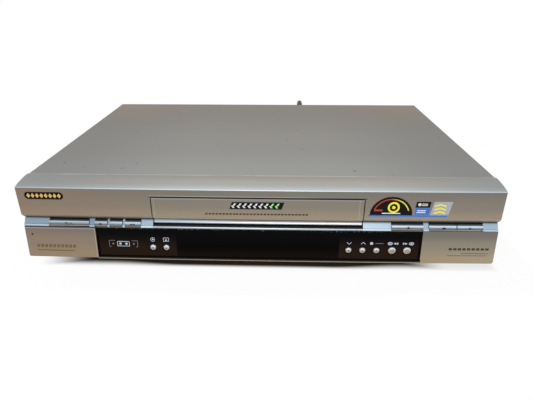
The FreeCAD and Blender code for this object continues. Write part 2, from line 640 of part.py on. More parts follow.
def makeFront():
    """The moulded front: a hollow bowed shell with its openings, a rib that laps under the cover and lugs."""
    piece = Piece("front_moulding")
    piece.bowed("Revolution", [
        ("seamY", "bodyHeight"), ("faceY + crownDepth", "bodyHeight", "crownRadius"), ("faceY", "edgeZ"),
        ("faceY - browOut", "browZ"), ("faceY + stripIn", "stripZ"), ("faceY + channelDepth", "stripZ"),
        ("faceY + channelDepth", "shelfZ"), ("faceY - shelfOut", "shelfZ"), ("faceY - chinOut", "footHeight"),
        ("seamY", "footHeight"),
    ], "halfWidth + 3")
    piece.trim("-halfWidth", "halfWidth")
    behind = "seamY + 3 * frontBow + 5"
    crownInner = "bodyHeight - crownRadius + sqrt((crownRadius - frontWall) ^ 2 - (crownDepth - frontWall) ^ 2)"
    piece.bowed("Groove", [
        (behind, "bodyHeight - frontWall"),
        ("faceY + crownDepth", "bodyHeight - frontWall", "crownRadius - frontWall"),
        ("faceY + frontWall", crownInner),
        ("faceY - browOut + frontWall", "browZ"),
        ("faceY + stripIn + 0.5", "stripZ + channelRoof"),
        ("webBack", "stripZ + channelRoof"), ("webBack", "shelfZ - channelRoof"),
        ("faceY - shelfOut + frontWall - chinLean * channelRoof", "shelfZ - channelRoof"),
        ("faceY - chinOut + frontWall + chinLean * frontFloor", "footHeight + frontFloor"),
        (behind, "footHeight + frontFloor"),
    ], "halfWidth - frontWall")
    piece.pocket("XZ", "seamY", "seamY + 20", rectangle("-bodyWidth", "-10", "bodyWidth", "2 * bodyHeight"))
    rib, leg = "innerHalf", "footHeight + trayFlange + 2"
    piece.pad("XZ", "seamY - 4", "seamY + lapDepth", [
        (f"-{rib}", leg), (f"-{rib} + lapWall", leg), (f"-{rib} + lapWall", "innerTop - lapWall"),
        (f"{rib} - lapWall", "innerTop - lapWall"), (f"{rib} - lapWall", leg), (rib, leg),
        (rib, "innerTop - coverBend"), (f"{rib} - coverBend", "innerTop"),
        (f"-{rib} + coverBend", "innerTop"), (f"-{rib}", "innerTop - coverBend"),
    ])
    deep = "webBack + frontBow + 1"
    opening = "openingWidth / 2"
    piece.pocket("XZ", "faceY - chinOut", deep, [
        (f"-{opening}", "slotFloor"), (opening, "slotFloor"),
        (opening, "openingTop - doorCorner", "doorCorner"), (f"{opening} - doorCorner", "openingTop"),
        (f"-{opening} + doorCorner", "openingTop", "doorCorner"), (f"-{opening}", "openingTop - doorCorner")])
    piece.pocket("XZ", "faceY + doorLip", deep,
                 rectangle(f"-{opening}", "openingTop - doorCorner - 1", opening, "openingTop + doorRecess"))
    high, low = "buttonZ + buttonHalf + buttonGap", "buttonZ - buttonHalf - buttonGap"
    windows = []
    for left, right in (("powerLeft", "powerRight"), ("timerLeft", "timerRight"), ("searchLeft", "searchRight"),
                        ("rewindLeft", "rewindRight"), ("ejectLeft", "ejectRight"), ("stopLeft", "playRight")):
        windows.append(rectangle(f"{left} - buttonGap", low, f"{right} + buttonGap", high))
    piece.pocket("XZ", "faceY + channelDepth - 1", deep, *windows)
    glass = "windowWidth / 2"
    piece.pocket("XZ", "faceY - chinOut - 1", "faceY + channelDepth / 2",
                 rectangle(f"-{glass}", "footHeight + windowFloorRise", glass, "shelfZ + 0.1"))
    corners = []
    for side in (-1, 1):
        edge, turnIn = f"{side} * halfWidth", f"{side} * (halfWidth - browCorner)"
        far = f"{side} * (halfWidth + 5)"
        arc = "browCorner" if side > 0 else "-browCorner"
        corners.append([(turnIn, "stripZ", arc), (edge, "stripZ + browCorner"), (far, "stripZ + browCorner"),
                        (far, "stripZ - 1"), (turnIn, "stripZ - 1")])
    piece.pocket("XZ", "faceY - chinOut", "faceY + channelDepth", *corners)
    chin = []
    for side in (-1, 1):
        edge, turnIn = f"{side} * halfWidth", f"{side} * (halfWidth - chinCorner)"
        far = f"{side} * (halfWidth + 5)"
        arc = "chinCorner" if side > 0 else "-chinCorner"
        chin.append([(turnIn, "footHeight", arc), (edge, "footHeight + chinCorner"),
                     (far, "footHeight + chinCorner"),
                     (far, "footHeight - 1"), (turnIn, "footHeight - 1")])
    piece.pocket("XZ", "faceY - chinOut - 1", "seamY + 1", *chin)
    for side in (-1, 1):
        ends = sorted((f"{side} * (openingWidth / 2)", f"{side} * (openingWidth / 2 + doorPinReach + 1)"),
                      key=number)
        piece.pad("YZ", ends[0], ends[1],
                  rectangle("faceY + frontWall - 1", "doorAxisZ - 3", "doorAxisY + 3", "doorAxisZ + 3"))
        piece.pocket("YZ", ends[0] if side > 0 else f"{ends[1]} - doorPinReach - 0.3",
                     ends[1] if side < 0 else f"{ends[0]} + doorPinReach + 0.3",
                     circle("doorAxisY", "doorAxisZ", "doorPin + pinClearance"))
    piece.soften("edgeRadius", lambda edge: nearPoint(edge, up=number("edgeZ")) and edge.Length > 100)
    seat = Piece("flap_seat")
    seat.bowed("Revolution", [
        ("faceY - chinOut - 6", "shelfZ + 0.1"), ("faceY - chinOut - 6", "footHeight - 1"),
        ("faceY - chinOut + flapSeat", "footHeight - 1"), ("faceY - shelfOut + flapSeat", "shelfZ + 0.1"),
    ], "halfWidth + 3")
    seat.trim("-halfWidth - 1", "flapRight + fitGap")
    lugs = Piece("flap_lugs")
    radius = "flapLugRadius"
    axisY, axisZ = "flapAxisY", "flapAxisZ"
    for place in flapLugPlaces:
        start, end = f"{place} - flapLug / 2", f"{place} + flapLug / 2"
        outline = [(f"{axisY} + {radius} / 2", f"{axisZ} + {radius}"),
                   (f"{axisY} - {radius}", f"{axisZ} + {radius} / 2"),
                   (f"{axisY} - {radius}", f"{axisZ} - {radius} / 2"),
                   (f"{axisY} + {radius} / 2", f"{axisZ} - {radius}"),
                   (f"{axisY} + 4.5", f"{axisZ} - {radius}"),
                   (f"{axisY} + 4.5", f"footHeight + frontFloor + 1")]
        lugs.pad("YZ", start, end, outline)
        lugs.pocket("YZ", f"{start} - 0.1", f"{end} + 0.1", circle(axisY, axisZ, "flapPin + pinClearance"))
    keep("front_fascia", joined("front_fascia", cut("front_shell", piece.body, seat.body), lugs.body))


enter([
    ("flapLeft", "=-halfWidth + 0.1", "left edge of the flap"),
    ("flapMiddle", "=(flapLeft + flapRight) / 2", "middle of the flap"),
    ("flapAxisZ", "=footHeight + flapAxisRise", "flap's hinge axis, height"),
    ("flapAxisY", "=frontEdge - frontBow * (1 - (flapMiddle / halfWidth) ^ 2) - shelfOut"
     " - chinLean * (shelfZ - flapAxisZ) + flapAxisIn", "flap's hinge axis, depth"),
])
doc.recompute()
flapLugPlaces = ["(flapLeft + flapInset)", "(flapRight - flapInset)"]


def makeTrim():
    """The silver strip under the brow, cut out round the buttons and the cassette opening."""
    piece = Piece("button_trim")
    under = "shelfZ + 0.2"
    web = "faceY - 0.3"
    piece.bowed("Revolution", [
        ("faceY + stripIn", "stripZ - 0.2"), ("faceY - 1.5", f"{under} + trimLipTop"),
        ("faceY - shelfOut + 0.5", f"{under} + trimLipTop - 0.1"),
        ("faceY - shelfOut + 0.15", f"{under} + trimLipTop - 0.6"),
        ("faceY - shelfOut + 0.15", under), ("faceY + channelDepth - fitGap", under),
        ("faceY + channelDepth - fitGap", f"{under} + trimLip"), (web, f"{under} + trimLip"),
        ("faceY + stripIn + trimWall", "stripZ - 0.2"),
    ], "halfWidth")
    piece.trim("-halfWidth + 0.2", "halfWidth - 0.2")
    deep = "faceY + channelDepth + frontBow + 1"
    holes = []
    for left, right in stripButtons.values():
        holes.append((f"{left} - buttonGap", f"{right} + buttonGap"))
    ordered = holes[:5] + [(f"{stripButtons['stop_button'][0]} - buttonGap",
                            f"{stripButtons['play_button'][1]} + buttonGap")]
    upper = [rectangle(left, f"{under} + trimLip", right, "stripZ + 1") for left, right in ordered]
    opening = "openingWidth / 2"
    upper.append(rectangle(f"-{opening}", "slotFloor", opening, "stripZ + 1"))
    piece.pocket("XZ", "faceY - shelfOut - 1", deep, *upper)
    fronts = [rectangle(left, f"{under} - 1", right, f"{under} + trimLip + 0.1") for left, right in ordered]
    piece.pocket("XZ", "faceY - shelfOut - 1", "faceY", *fronts)
    keep("button_trim", piece.body)


stripButtons = {
    "power_button": ("powerLeft", "powerRight"),
    "timer_button": ("timerLeft", "timerRight"),
    "search_button": ("searchLeft", "searchRight"),
    "rewind_button": ("rewindLeft", "rewindRight"),
    "eject_button": ("ejectLeft", "ejectRight"),
    "stop_button": ("stopLeft", "stopRight"),
    "play_button": ("playLeft", "playRight"),
}
roundKeys = {
    "refresh_key": ("refreshPlace", "keySmall"),
    "picture_key": ("picturePlace", "keySmall"),
    "channel_down_key": ("downPlace", "keySmall"),
    "channel_up_key": ("upPlace", "keySmall"),
    "record_key": ("recordPlace", "keySmall"),
    "review_key": ("reviewPlace", "keyLarge"),
    "cue_key": ("cuePlace", "keyLarge"),
}


def makeStripButtons():
    """Half-round bars in the trim strip, each with a flange behind the web and a stem to its switch."""
    low, high = "buttonZ - buttonHalf", "buttonZ + buttonHalf"
    inner, rear = "webBack + 0.3", "webBack + 1.5"
    for label, (left, right) in stripButtons.items():
        piece = Piece(label)
        far = right if number(right) > -number(left) else f"-({left})"
        piece.bowed("Revolution", [
            ("faceY + buttonSet", high, "buttonRound"), ("faceY + buttonSet", low), (inner, low),
            (inner, f"{low} - buttonFlange"), (rear, f"{low} - buttonFlange"), (rear, f"{high} + buttonFlange"),
            (inner, f"{high} + buttonFlange"), (inner, high),
        ], f"{far} + 1")
        piece.trim(left, right)
        middle = f"({left} + {right}) / 2"
        piece.pad("XZ", f"webBack + 1 + {bowAt(middle)}", "plungerY - buttonTravel - 0.1",
                  rectangle(f"{middle} - stemHalf", "buttonZ - stemHalf", f"{middle} + stemHalf",
                            "buttonZ + stemHalf"))
        keep(label, piece.body)


def makeRoundKeys():
    """Domed keys in the display window, each with a flange behind it and a stem to its switch."""
    for label, (place, radius) in roundKeys.items():
        piece = Piece(label)
        face = faceAt(place, "keyZ")
        tip = f"{face} - keyProud"
        flange = f"{face} + windowSink + windowWall + chinLean * ({radius} + 1) + fitGap"
        piece.turn("XY", (place, "0", "keyZ"), [
            ("0", f"{tip} + 0.25"), ("0.8", tip), (f"{radius} * 0.72", f"{tip} + 0.2"), (radius, f"{tip} + 1"),
            (radius, flange), (f"{radius} + 0.9", flange), (f"{radius} + 0.9", f"{flange} + 1"),
            ("stemHalf", f"{flange} + 1"), ("stemHalf", "plungerY - keyTravel - 0.1"),
            ("0", "plungerY - keyTravel - 0.1"),
        ])
        keep(label, piece.body)


def makeWindow():
    """The dark display window, let into the front with an ear at each end, and holed for the keys."""
    piece = Piece("display_window")
    low, high = "footHeight + windowFloorRise + 0.15", "shelfZ - 0.15"

    def depth(up, back):
        return f"faceY - shelfOut - chinLean * (shelfZ - ({up})) + {back}"

    front, rear = "windowSink", "windowSink + windowWall"
    piece.bowed("Revolution", [(depth(high, front), high), (depth(low, front), low),
                               (depth(low, rear), low), (depth(high, rear), high)], "windowWidth / 2 - 0.2")
    earLow, earHigh = "footHeight + 5", "shelfZ - 5"
    earFront, earBack = "frontWall + 0.15", "frontWall + 1.2"
    piece.bowed("Revolution", [(depth(earHigh, "windowSink + 1.2"), earHigh),
                               (depth(earLow, "windowSink + 1.2"), earLow),
                               (depth(earLow, earBack), earLow), (depth(earHigh, earBack), earHigh)],
                "windowWidth / 2 - 0.2")
    piece.bowed("Revolution", [(depth(earHigh, earFront), earHigh), (depth(earLow, earFront), earLow),
                               (depth(earLow, earBack), earLow), (depth(earHigh, earBack), earHigh)],
                "windowWidth / 2 + windowEar")
    over, under = f"{high} + 1", f"{low} - 1"
    piece.bowed("Groove", [(depth(over, rear), over), (depth(under, rear), under), (depth(under, "5"), under),
                           (depth(over, "5"), over)], "windowWidth / 2 - 4")
    for label, (place, radius) in roundKeys.items():
        face = faceAt(place, "keyZ")
        piece.pocket("XZ", f"{face} - 5", f"{face} + 8", circle(place, "keyZ", f"{radius} + keyGap"))
        piece.pocket("XZ", f"{face} - 5", f"{face} + windowSink + 0.8",
                     circle(place, "keyZ", f"{radius} + keyRecess"))
    keep("display_window", piece.body)


def makeDoor():
    """The cassette door: brow face, chamfer and half-round finger nose, with ears and hinge pins."""
    piece = Piece("cassette_door")
    top = "openingTop - doorGap"
    low = "footHeight + noseBottomRise"
    piece.bowed("Revolution", [
        (f"faceY - browLean * (edgeZ - ({top}))", top), ("faceY - browOut", "browZ"),
        ("faceY + stripIn", "stripZ"),
        ("faceY + stripIn - 0.3", "footHeight + noseTopRise", "noseRadius"), ("faceY + stripIn - 0.3", low),
        ("faceY + stripIn + doorWall", low), ("faceY + stripIn + doorWall", "stripZ + 0.8"),
        ("faceY - browOut + doorWall", "browZ + 0.5"),
        (f"faceY - browLean * (edgeZ - ({top})) + doorWall", top),
    ], "doorHalf")
    for side in (-1, 1):
        edge, beyond = f"{side} * doorHalf", f"{side} * (doorHalf + 3)"
        inner = f"{side} * (doorHalf - doorRound)"
        piece.pocket("XZ", "faceY - chinOut", "faceY + doorLip + 0.4", [
            (inner, top, "-doorRound" if side > 0 else "doorRound"), (edge, f"{top} - doorRound"),
            (beyond, f"{top} - doorRound"), (beyond, f"{top} + 1"), (inner, f"{top} + 1")])
        start, end = sorted((f"{side} * doorHalf", f"{side} * (doorHalf - 2)"), key=number)
        piece.pad("YZ", start, end, [
            ("faceY", top), ("faceY - 0.4", "openingTop - 8"), ("faceY + 1", "openingTop - 8"),
            ("doorAxisY + doorPin + 0.4", "doorAxisZ - 1.4"), ("doorAxisY + doorPin + 0.4", top)])
        start, end = sorted((f"{side} * (doorHalf - 1)", f"{side} * (doorHalf + doorGap + doorPinReach)"),
                            key=number)
        piece.pad("YZ", start, end, circle("doorAxisY", "doorAxisZ", "doorPin"))
    keep("cassette_door", piece.body)


def makeFlap():
    """The pull-open flap over the front sockets, notched round two hinge lugs."""
    piece = Piece("socket_flap")
    low, high = "footHeight + 0.2", "shelfZ - 0.3"

    def depth(up, back):
        return f"faceY - shelfOut - chinLean * (shelfZ - ({up})) + {back}"

    piece.bowed("Revolution", [
        (depth(high, "0.5"), high), (depth(high + " - 0.5", "0"), f"{high} - 0.5"),
        (depth(low + " + 0.9", "0"), f"{low} + 0.9"),
        (depth(low + " + 0.3", "0.3"), f"{low} + 0.3"), (depth(low, "0.9"), low), (depth(low, "flapWall"), low),
        (depth(high, "flapWall"), high),
    ], "halfWidth + 3")
    piece.trim("flapLeft", "flapRight")
    notchTop, notchLow = "flapAxisZ + flapLugRadius + 0.5", "footHeight - 1"
    for place in flapLugPlaces:
        behind = f"{faceAt(place, notchLow)} + 9"
        piece.pocket("YZ", f"{place} - flapNotch / 2", f"{place} + flapNotch / 2", [
            (f"{faceAt(place, notchLow)} + flapSkin", notchLow), (behind, notchLow), (behind, notchTop),
            (f"{faceAt(place, notchTop)} + flapSkin", notchTop)])
    edge, turnIn = "flapLeft", "(flapLeft + chinCorner)"
    piece.pocket("XZ", "faceY - chinOut - 2", "faceY + 4", [
        (turnIn, "footHeight + 0.2", "-chinCorner"), (edge, "footHeight + chinCorner + 0.2"),
        (f"{edge} - 5", "footHeight + chinCorner + 0.2"), (f"{edge} - 5", "footHeight - 1"),
        (turnIn, "footHeight - 1")])
    for place in flapLugPlaces:
        piece.pad("YZ", f"{place} - flapNotch / 2 - 1", f"{place} + flapNotch / 2 + 1",
                  circle("flapAxisY", "flapAxisZ", "flapPin"))
    keep("socket_flap", piece.body)


def makeFrontSockets():
    """The socket block behind the flap: a moulded plate with three phono sockets."""
    piece = Piece("front_sockets")
    plate = f"{faceAt('flapMiddle', 'shelfZ')} + 9"
    left, right = "flapLeft + 6", "flapRight - 6"
    piece.pad("XZ", plate, f"{plate} + 2",
              rectangle(left, "footHeight + frontFloor", right, "shelfZ - channelRoof - fitGap"))
    piece.pad("XZ", f"{plate} + 1", "frontBoardY - fitGap",
              rectangle(f"{left} + 6", "footHeight + 4", f"{right} - 6", "shelfZ - 6"))
    places = [f"(flapMiddle + {step} * 16)" for step in (-1, 0, 1)]
    piece.pad("XZ", f"{plate} - 7.5", f"{plate} + 1",
              *[circle(place, "footHeight + 15", "4.15") for place in places])
    piece.pocket("XZ", f"{plate} - 8", f"{plate} + 1",
                 *[circle(place, "footHeight + 15", "1.7") for place in places])
    keep("front_sockets", piece.body)


def rounded(left, low, right, high, radius):
    """A rectangle with round corners."""
    inLeft, inRight = f"{left} + {radius}", f"{right} - {radius}"
    inLow, inHigh = f"{low} + {radius}", f"{high} - {radius}"
    return [(inLeft, low), (inRight, low, radius), (right, inLow), (right, inHigh, radius),
            (inRight, high), (inLeft, high, radius), (left, inHigh), (left, inLow, radius)]


def around(across, along, half, halfDeep=None):
    """A rectangle round a middle."""
    deep = halfDeep or half
    return rectangle(f"{across} - {half}", f"{along} - {deep}", f"{across} + {half}", f"{along} + {deep}")


def buttonMiddles():
    """Places, across and up, of the switches behind the buttons."""
    strip = [(f"(({left} + {right}) / 2)", "buttonZ") for left, right in stripButtons.values()]
    return strip + [(place, "keyZ") for place, radius in roundKeys.values()]


def makeFrontBoard():
    """Upright board with a switch behind each button, low in the middle where the cassette goes over it."""
    piece = Piece("switch_board")
    low, high, notch = "footHeight + 3.5", "footHeight + frontBoardHigh", "frontBoardNotch"
    middle = "footHeight + frontBoardLow"
    piece.pad("XZ", "frontBoardY", "frontBoardY + boardWall", [
        ("frontBoardLeft", low), ("frontBoardRight", low), ("frontBoardRight", high), (notch, high),
        (notch, middle), (f"-{notch}", middle), (f"-{notch}", high), ("frontBoardLeft", high)])
    bodies = [around(across, up, "switchHalf") for across, up in buttonMiddles()]
    piece.pad("XZ", "frontBoardY - switchBody", "frontBoardY", *bodies)
    plungers = [circle(across, up, "plungerRadius") for across, up in buttonMiddles()]
    piece.pad("XZ", "plungerY", "frontBoardY - switchBody / 2", *plungers)
    keep("switch_board", piece.body)


def makeDisplay():
    """Display tube in its holder on the switch board."""
    piece = Piece("display_tube")
    low, high = "footHeight + displayFloor", "footHeight + displayTop"
    piece.pad("XZ", "frontBoardY - displayDepth / 2", "frontBoardY",
              rectangle("-displayHalf", low, "displayHalf", high))
    piece.pad("XZ", "frontBoardY - displayDepth", "frontBoardY - displayDepth / 2",
              rounded("-displayHalf + 4", f"{low} + 1.5", "displayHalf - 4", f"{high} - 1.5", "1"))
    keep("display_tube", piece.body)


boardEdges = {
    "left": "(-innerHalf + 6)", "right": "(innerHalf - 6)", "front": "(seamY + 8)", "rear": "(panelFront - 3)",
    "deckSide": "(deckWidth / 2 + 4)", "deckRear": "(deckBack + 5)",
}


def makeMainBoard():
    """Signal board round the left and rear of the deck, on standoffs, with its larger parts."""
    piece = Piece("main_board")
    under = "footHeight + boardRise"
    left, front, rear = boardEdges["left"], boardEdges["front"], boardEdges["rear"]
    side, back = boardEdges["deckSide"], boardEdges["deckRear"]
    piece.pad("XY", under, "boardTop", [(left, front), (f"-{side}", front), (f"-{side}", back), ("20", back),
                                        ("20", rear), (left, rear)])
    standoffs = [(f"{left} + 6", f"{front} + 6"), (f"-{side} - 6", f"{front} + 6"), (f"{left} + 6", "0"),
                 ("14", f"{back} + 6"), ("14", f"{rear} - 6"), (f"{left} + 6", f"{rear} - 6")]
    piece.pad("XY", "trayTop", under, *[circle(across, along, "3") for across, along in standoffs])
    chips = [around("-180", "-70", "10", "10"), around("-140", "-60", "7", "14"),
             around("-170", "-20", "14", "14"),
             around("-130", "10", "6", "11"), around("-180", "30", "8", "16"), around("-40", "90", "12", "12"),
             around("-10", "110", "7", "10")]
    piece.pad("XY", "boardTop", "boardTop + 2.5", *chips)
    tanks = [around("-195", "-95", "5", "5"), around("-150", "-90", "5", "7"), around("-135", "-25", "6", "6"),
             around("-150", "40", "5", "8"), around("0", "84", "6", "5")]
    piece.pad("XY", "boardTop", "boardTop + 11", *tanks)
    piece.pad("XY", "boardTop", "boardTop + 14", *[circle(across, along, "4") for across, along in
                                                   (("-195", "5"), ("-125", "50"), ("-60", "82"),
                                                    ("-28", "120"))])
    keep("main_board", piece.body)


def makePowerBoard():
    """Supply board at the right rear, with its smoothing cans, fuse and chokes."""
    piece = Piece("power_board")
    under = "footHeight + boardRise"
    right, rear, back = boardEdges["right"], boardEdges["rear"], boardEdges["deckRear"]
    piece.pad("XY", under, "boardTop", rectangle("28", back, right, rear))
    standoffs = [("34", f"{back} + 6"), ("34", f"{rear} - 6"), (f"{right} - 6", f"{back} + 6"),
                 (f"{right} - 6", f"{rear} - 6")]
    piece.pad("XY", "trayTop", under, *[circle(across, along, "3") for across, along in standoffs])
    cans = [("108", f"{rear} - 14", "9"), ("108", f"{back} + 14", "6"), ("90", f"{back} + 12", "6")]
    piece.pad("XY", "boardTop", "boardTop + 30", *[circle(*can) for can in cans])
    piece.pad("XY", "boardTop", "boardTop + 18", around("60", f"{rear} - 12", "11", "7"),
              around("88", f"{rear} - 12", "5", "9"))
    piece.pad("XY", "boardTop", "boardTop + 8", around("45", f"{back} + 14", "10", "3.5"))
    keep("power_board", piece.body)


def makeTransformer():
    """Laminated core with its winding, on two feet."""
    piece = Piece("power_transformer")
    middle, along = "160", f"({boardEdges['deckRear']} + 30)"
    piece.pad("XY", "boardTop + 2", "boardTop + 46", around(middle, along, "28", "15"))
    piece.pad("XY", "boardTop + 10", "boardTop + 38",
              rounded(f"{middle} - 19", f"{along} - 24", f"{middle} + 19", f"{along} + 24", "5"))
    piece.pad("XY", "boardTop", "boardTop + 2", around(middle, along, "34", "12"))
    keep("power_transformer", piece.body)


def makeHeatSink():
    """Extruded comb that cools the supply's regulator."""
    piece = Piece("heat_sink")
    left, along, fins, pitch, wall = "42", f"({boardEdges['deckRear']} + 24)", 7, "5", "1.4"
    outline = [(left, f"{along} - 3"), (f"{left} + {fins} * {pitch} + {wall}", f"{along} - 3")]
    for fin in range(fins, -1, -1):
        start = f"{left} + {fin} * {pitch}"
        outline += [(f"{start} + {wall}", f"{along} + 12"), (start, f"{along} + 12")]
        if fin:
            outline += [(start, along), (f"{start} - {pitch} + {wall}", along)]
    piece.pad("XY", "boardTop", "boardTop + 36", outline)
    keep("heat_sink", piece.body)


tunerPlaces = ["-181", "-159"]
socketRows = [(across, up) for across in ("-122", "-106", "-90", "-74")
              for up in ("footHeight + 15", "footHeight + 31")]


def makeTuner():
    """Tinned tuner box with two aerial sockets through the rear panel."""
    piece = Piece("tuner_can")
    rise = "footHeight + 24"
    piece.pad("XY", "boardTop", "footHeight + 38",
              rectangle("-192", "panelFront - 62", "-148", "panelFront - fitGap"))
    piece.pad("XZ", "panelFront - 1", "rearFace + socketReach",
              *[circle(place, rise, "4.8") for place in tunerPlaces])
    piece.pocket("XZ", "rearFace", "rearFace + socketReach + 1",
                 *[circle(place, rise, "3.6") for place in tunerPlaces])
    piece.pad("XZ", "rearFace - 1", "rearFace + socketReach - 2",
              *[circle(place, rise, "1.2") for place in tunerPlaces])
    keep("tuner_can", piece.body)


def makeRearSockets():
    """Block of phono sockets through the rear panel."""
    piece = Piece("rear_sockets")
    piece.pad("XZ", "panelFront - 13", "panelFront - fitGap",
              rectangle("-131", "boardTop", "-65", "footHeight + 40"))
    piece.pad("XZ", "panelFront - 1", "rearFace + socketReach - 3",
              *[circle(across, up, "4.15") for across, up in socketRows])
    piece.pocket("XZ", "rearFace", "rearFace + socketReach",
                 *[circle(across, up, "1.7") for across, up in socketRows])
    keep("rear_sockets", piece.body)


def makeRearPanel():
    """Steel panel inside the cover's rear lip, with holes for the sockets and the lead."""
    piece = Piece("rear_panel")
    side = "(innerHalf - traySheet - fitGap)"
    piece.pad("XZ", "panelFront", "panelBack", rectangle(f"-{side}", "trayTop", side, "innerTop"))
    holes = [circle(place, "footHeight + 24", "5.3") for place in tunerPlaces]
    holes += [circle(across, up, "4.6") for across, up in socketRows]
    holes += [circle("cordPlace", "cordZ", "reliefNeck + fitGap")]
    holes += [circle(place, "bodyHeight - coverLip / 2 - coverSheet", "screwRadius + runningGap")
              for place in rearScrewPlaces]
    holes += [rectangle(f"110 + {place} * ventPitch", "footHeight + 14",
                        f"110 + {place} * ventPitch + ventWidth",
                        "footHeight + 14 + ventLength") for place in range(12)]
    piece.pocket("XZ", "panelFront - 1", "panelBack + 1", *holes)
    keep("rear_panel", piece.body)


deckLegs = [(across, along) for across in ("-deckWidth / 2 + 6", "0", "deckWidth / 2 - 6")
            for along in ("deckFront + 12", "deckBack - 6")]


def guideAt(side, travelled, offset="0"):
    """Across and depth of a guide carriage after some travel, moved across by an offset."""
    return (f"{side} * (guideInner + ({travelled}) * sin(guideLean)) + ({offset})",
            f"guideY + ({travelled}) * cos(guideLean)")


def makeDeck():
    """Steel deck plate on six legs, with the guide slots and the fixed pegs for what turns on it."""
    piece = Piece("deck_plate")
    half = "deckWidth / 2"
    piece.pad("XY", "deckUnder", "deckTop", rectangle(f"-{half}", "deckFront", half, "deckBack"))
    slots = []
    for side in (-1, 1):
        slots.append([guideAt(side, "-3", "-guideSlot"), guideAt(side, "-3", "guideSlot"),
                      guideAt(side, "guideTravel + 3", "guideSlot"),
                      guideAt(side, "guideTravel + 3", "-guideSlot")])
    openings = [around("0", "deckFront + 34", "18", "14"), around("-76", "deckFront + 96", "12", "20")]
    bearing = circle("capstanPlace", "capstanY", "bearingRadius + 0.15")
    piece.pocket("XY", "deckUnder - 1", "deckTop + 1", *slots, *openings, bearing)
    piece.pad("XY", "trayTop", "deckUnder", *[circle(across, along, "4") for across, along in deckLegs])
    reels = [circle(f"{side} * reelSpacing / 2", "reelY", "pivotRadius") for side in (-1, 1)]
    piece.pad("XY", "deckTop", "deckTop + 11", *reels)
    piece.pad("XY", "deckTop", "deckTop + 7", circle("pinchPlace", "pinchY", "pivotRadius"),
              circle("camPlace", "camY", "pivotRadius"))
    keep("deck_plate", piece.body)


def makeFrames():
    """Upright steel plates beside the cassette, windowed for the holder's pins and slotted for the rack's lugs."""
    for hand, side in (("left", -1), ("right", 1)):
        label = f"loader_frame_{hand}"
        piece = Piece(label)
        inner, outer = sorted((f"{side} * frameInner", f"{side} * (frameInner + frameSheet)"), key=number)
        front, rear = "frontEdge + frameSetback", "frontEdge + frameSetback + frameLength"
        top = "footHeight + frameTopRise"
        piece.pad("YZ", inner, outer,
                  [(front, "deckTop"), (rear, "deckTop"), (rear, f"{top} - 14"), (f"{rear} - 10", top),
                                       (front, top)])
        foot = sorted((f"{side} * (frameInner + frameSheet / 2)", f"{side} * (frameInner + frameFlange)"),
                      key=number)
        piece.pad("XY", "deckTop", "deckTop + frameSheet",
                  rectangle(foot[0], f"{front} + 10", foot[1], f"{rear} - 10"))
        play = "(holderPin + fitGap)"
        window = rectangle(f"frontEdge + holderPinFront - {play}", f"holderPinZ - loadDrop - {play}",
                           f"frontEdge + holderPinRear + loadTravel + {play}", f"holderPinZ + {play}")
        lugs = rectangle("frontEdge + rackSetback + 3", "footHeight + rackLugRise - 1.3",
                         "frontEdge + rackSetback + rackLength + loadTravel - 3",
                         "footHeight + rackLugRise + 1.3")
        piece.pocket("YZ", f"{inner} - 1", f"{outer} + 1", window, lugs)
        keep(label, piece.body)


def makeRack():
    """The loading rack: two slotted side plates that carry the holder's pins along, joined by a bridge."""
    piece = Piece("loader_rack")
    front, rear = "frontEdge + rackSetback", "frontEdge + rackSetback + rackLength"
    low, top, bridge = "footHeight + rackFloorRise", "footHeight + rackTopRise", "footHeight + rackBridgeRise"
    play = "(holderPin + fitGap)"
    for side in (-1, 1):
        inner, outer = sorted((f"{side} * rackInner", f"{side} * rackOuter"), key=number)
        piece.pad("YZ", inner, outer, [
            (front, low), (rear, low), (rear, top), (f"{rear} - 8", top),
            (f"{rear} - 8", f"{bridge} + rackSheet"),
            (f"{rear} - 22", f"{bridge} + rackSheet"), (f"{rear} - 22", top), (front, top)])
    bridgeHalf = "(rackInner + rackSheet / 2)"
    piece.pad("XY", bridge, f"{bridge} + rackSheet",
              rectangle(f"-{bridgeHalf}", f"{rear} - 22", bridgeHalf, f"{rear} - 8"))
    slots = [rectangle(f"frontEdge + {place} - {play}", f"holderPinZ - loadDrop - {play}",
                       f"frontEdge + {place} + {play}",
                       f"holderPinZ + {play}") for place in ("holderPinFront", "holderPinRear")]
    piece.pocket("YZ", "-rackOuter - 1", "rackOuter + 1", *slots)
    teeth = []
    for place in range(16):
        start = f"{front} + 4 + {place} * 4"
        teeth.append([(start, f"{low} - 1"), (f"{start} + 2.4", f"{low} - 1"),
                      (f"{start} + 1.8", f"{low} + 1.8"),
                      (f"{start} + 0.6", f"{low} + 1.8")])
    piece.pocket("YZ", "rackInner - 1", "rackOuter + 1", *teeth)
    lugZ = "footHeight + rackLugRise"
    lugs = [rectangle(f"{place} - 3", f"{lugZ} - 1", f"{place} + 3", f"{lugZ} + 1")
            for place in (f"{front} + 8", f"{rear} - 8")]
    for side in (-1, 1):
        inner, outer = sorted((f"{side} * rackInner", f"{side} * (frameInner + frameSheet + pinReach)"),
                              key=number)
        piece.pad("YZ", inner, outer, *lugs)
    keep("loader_rack", piece.body)


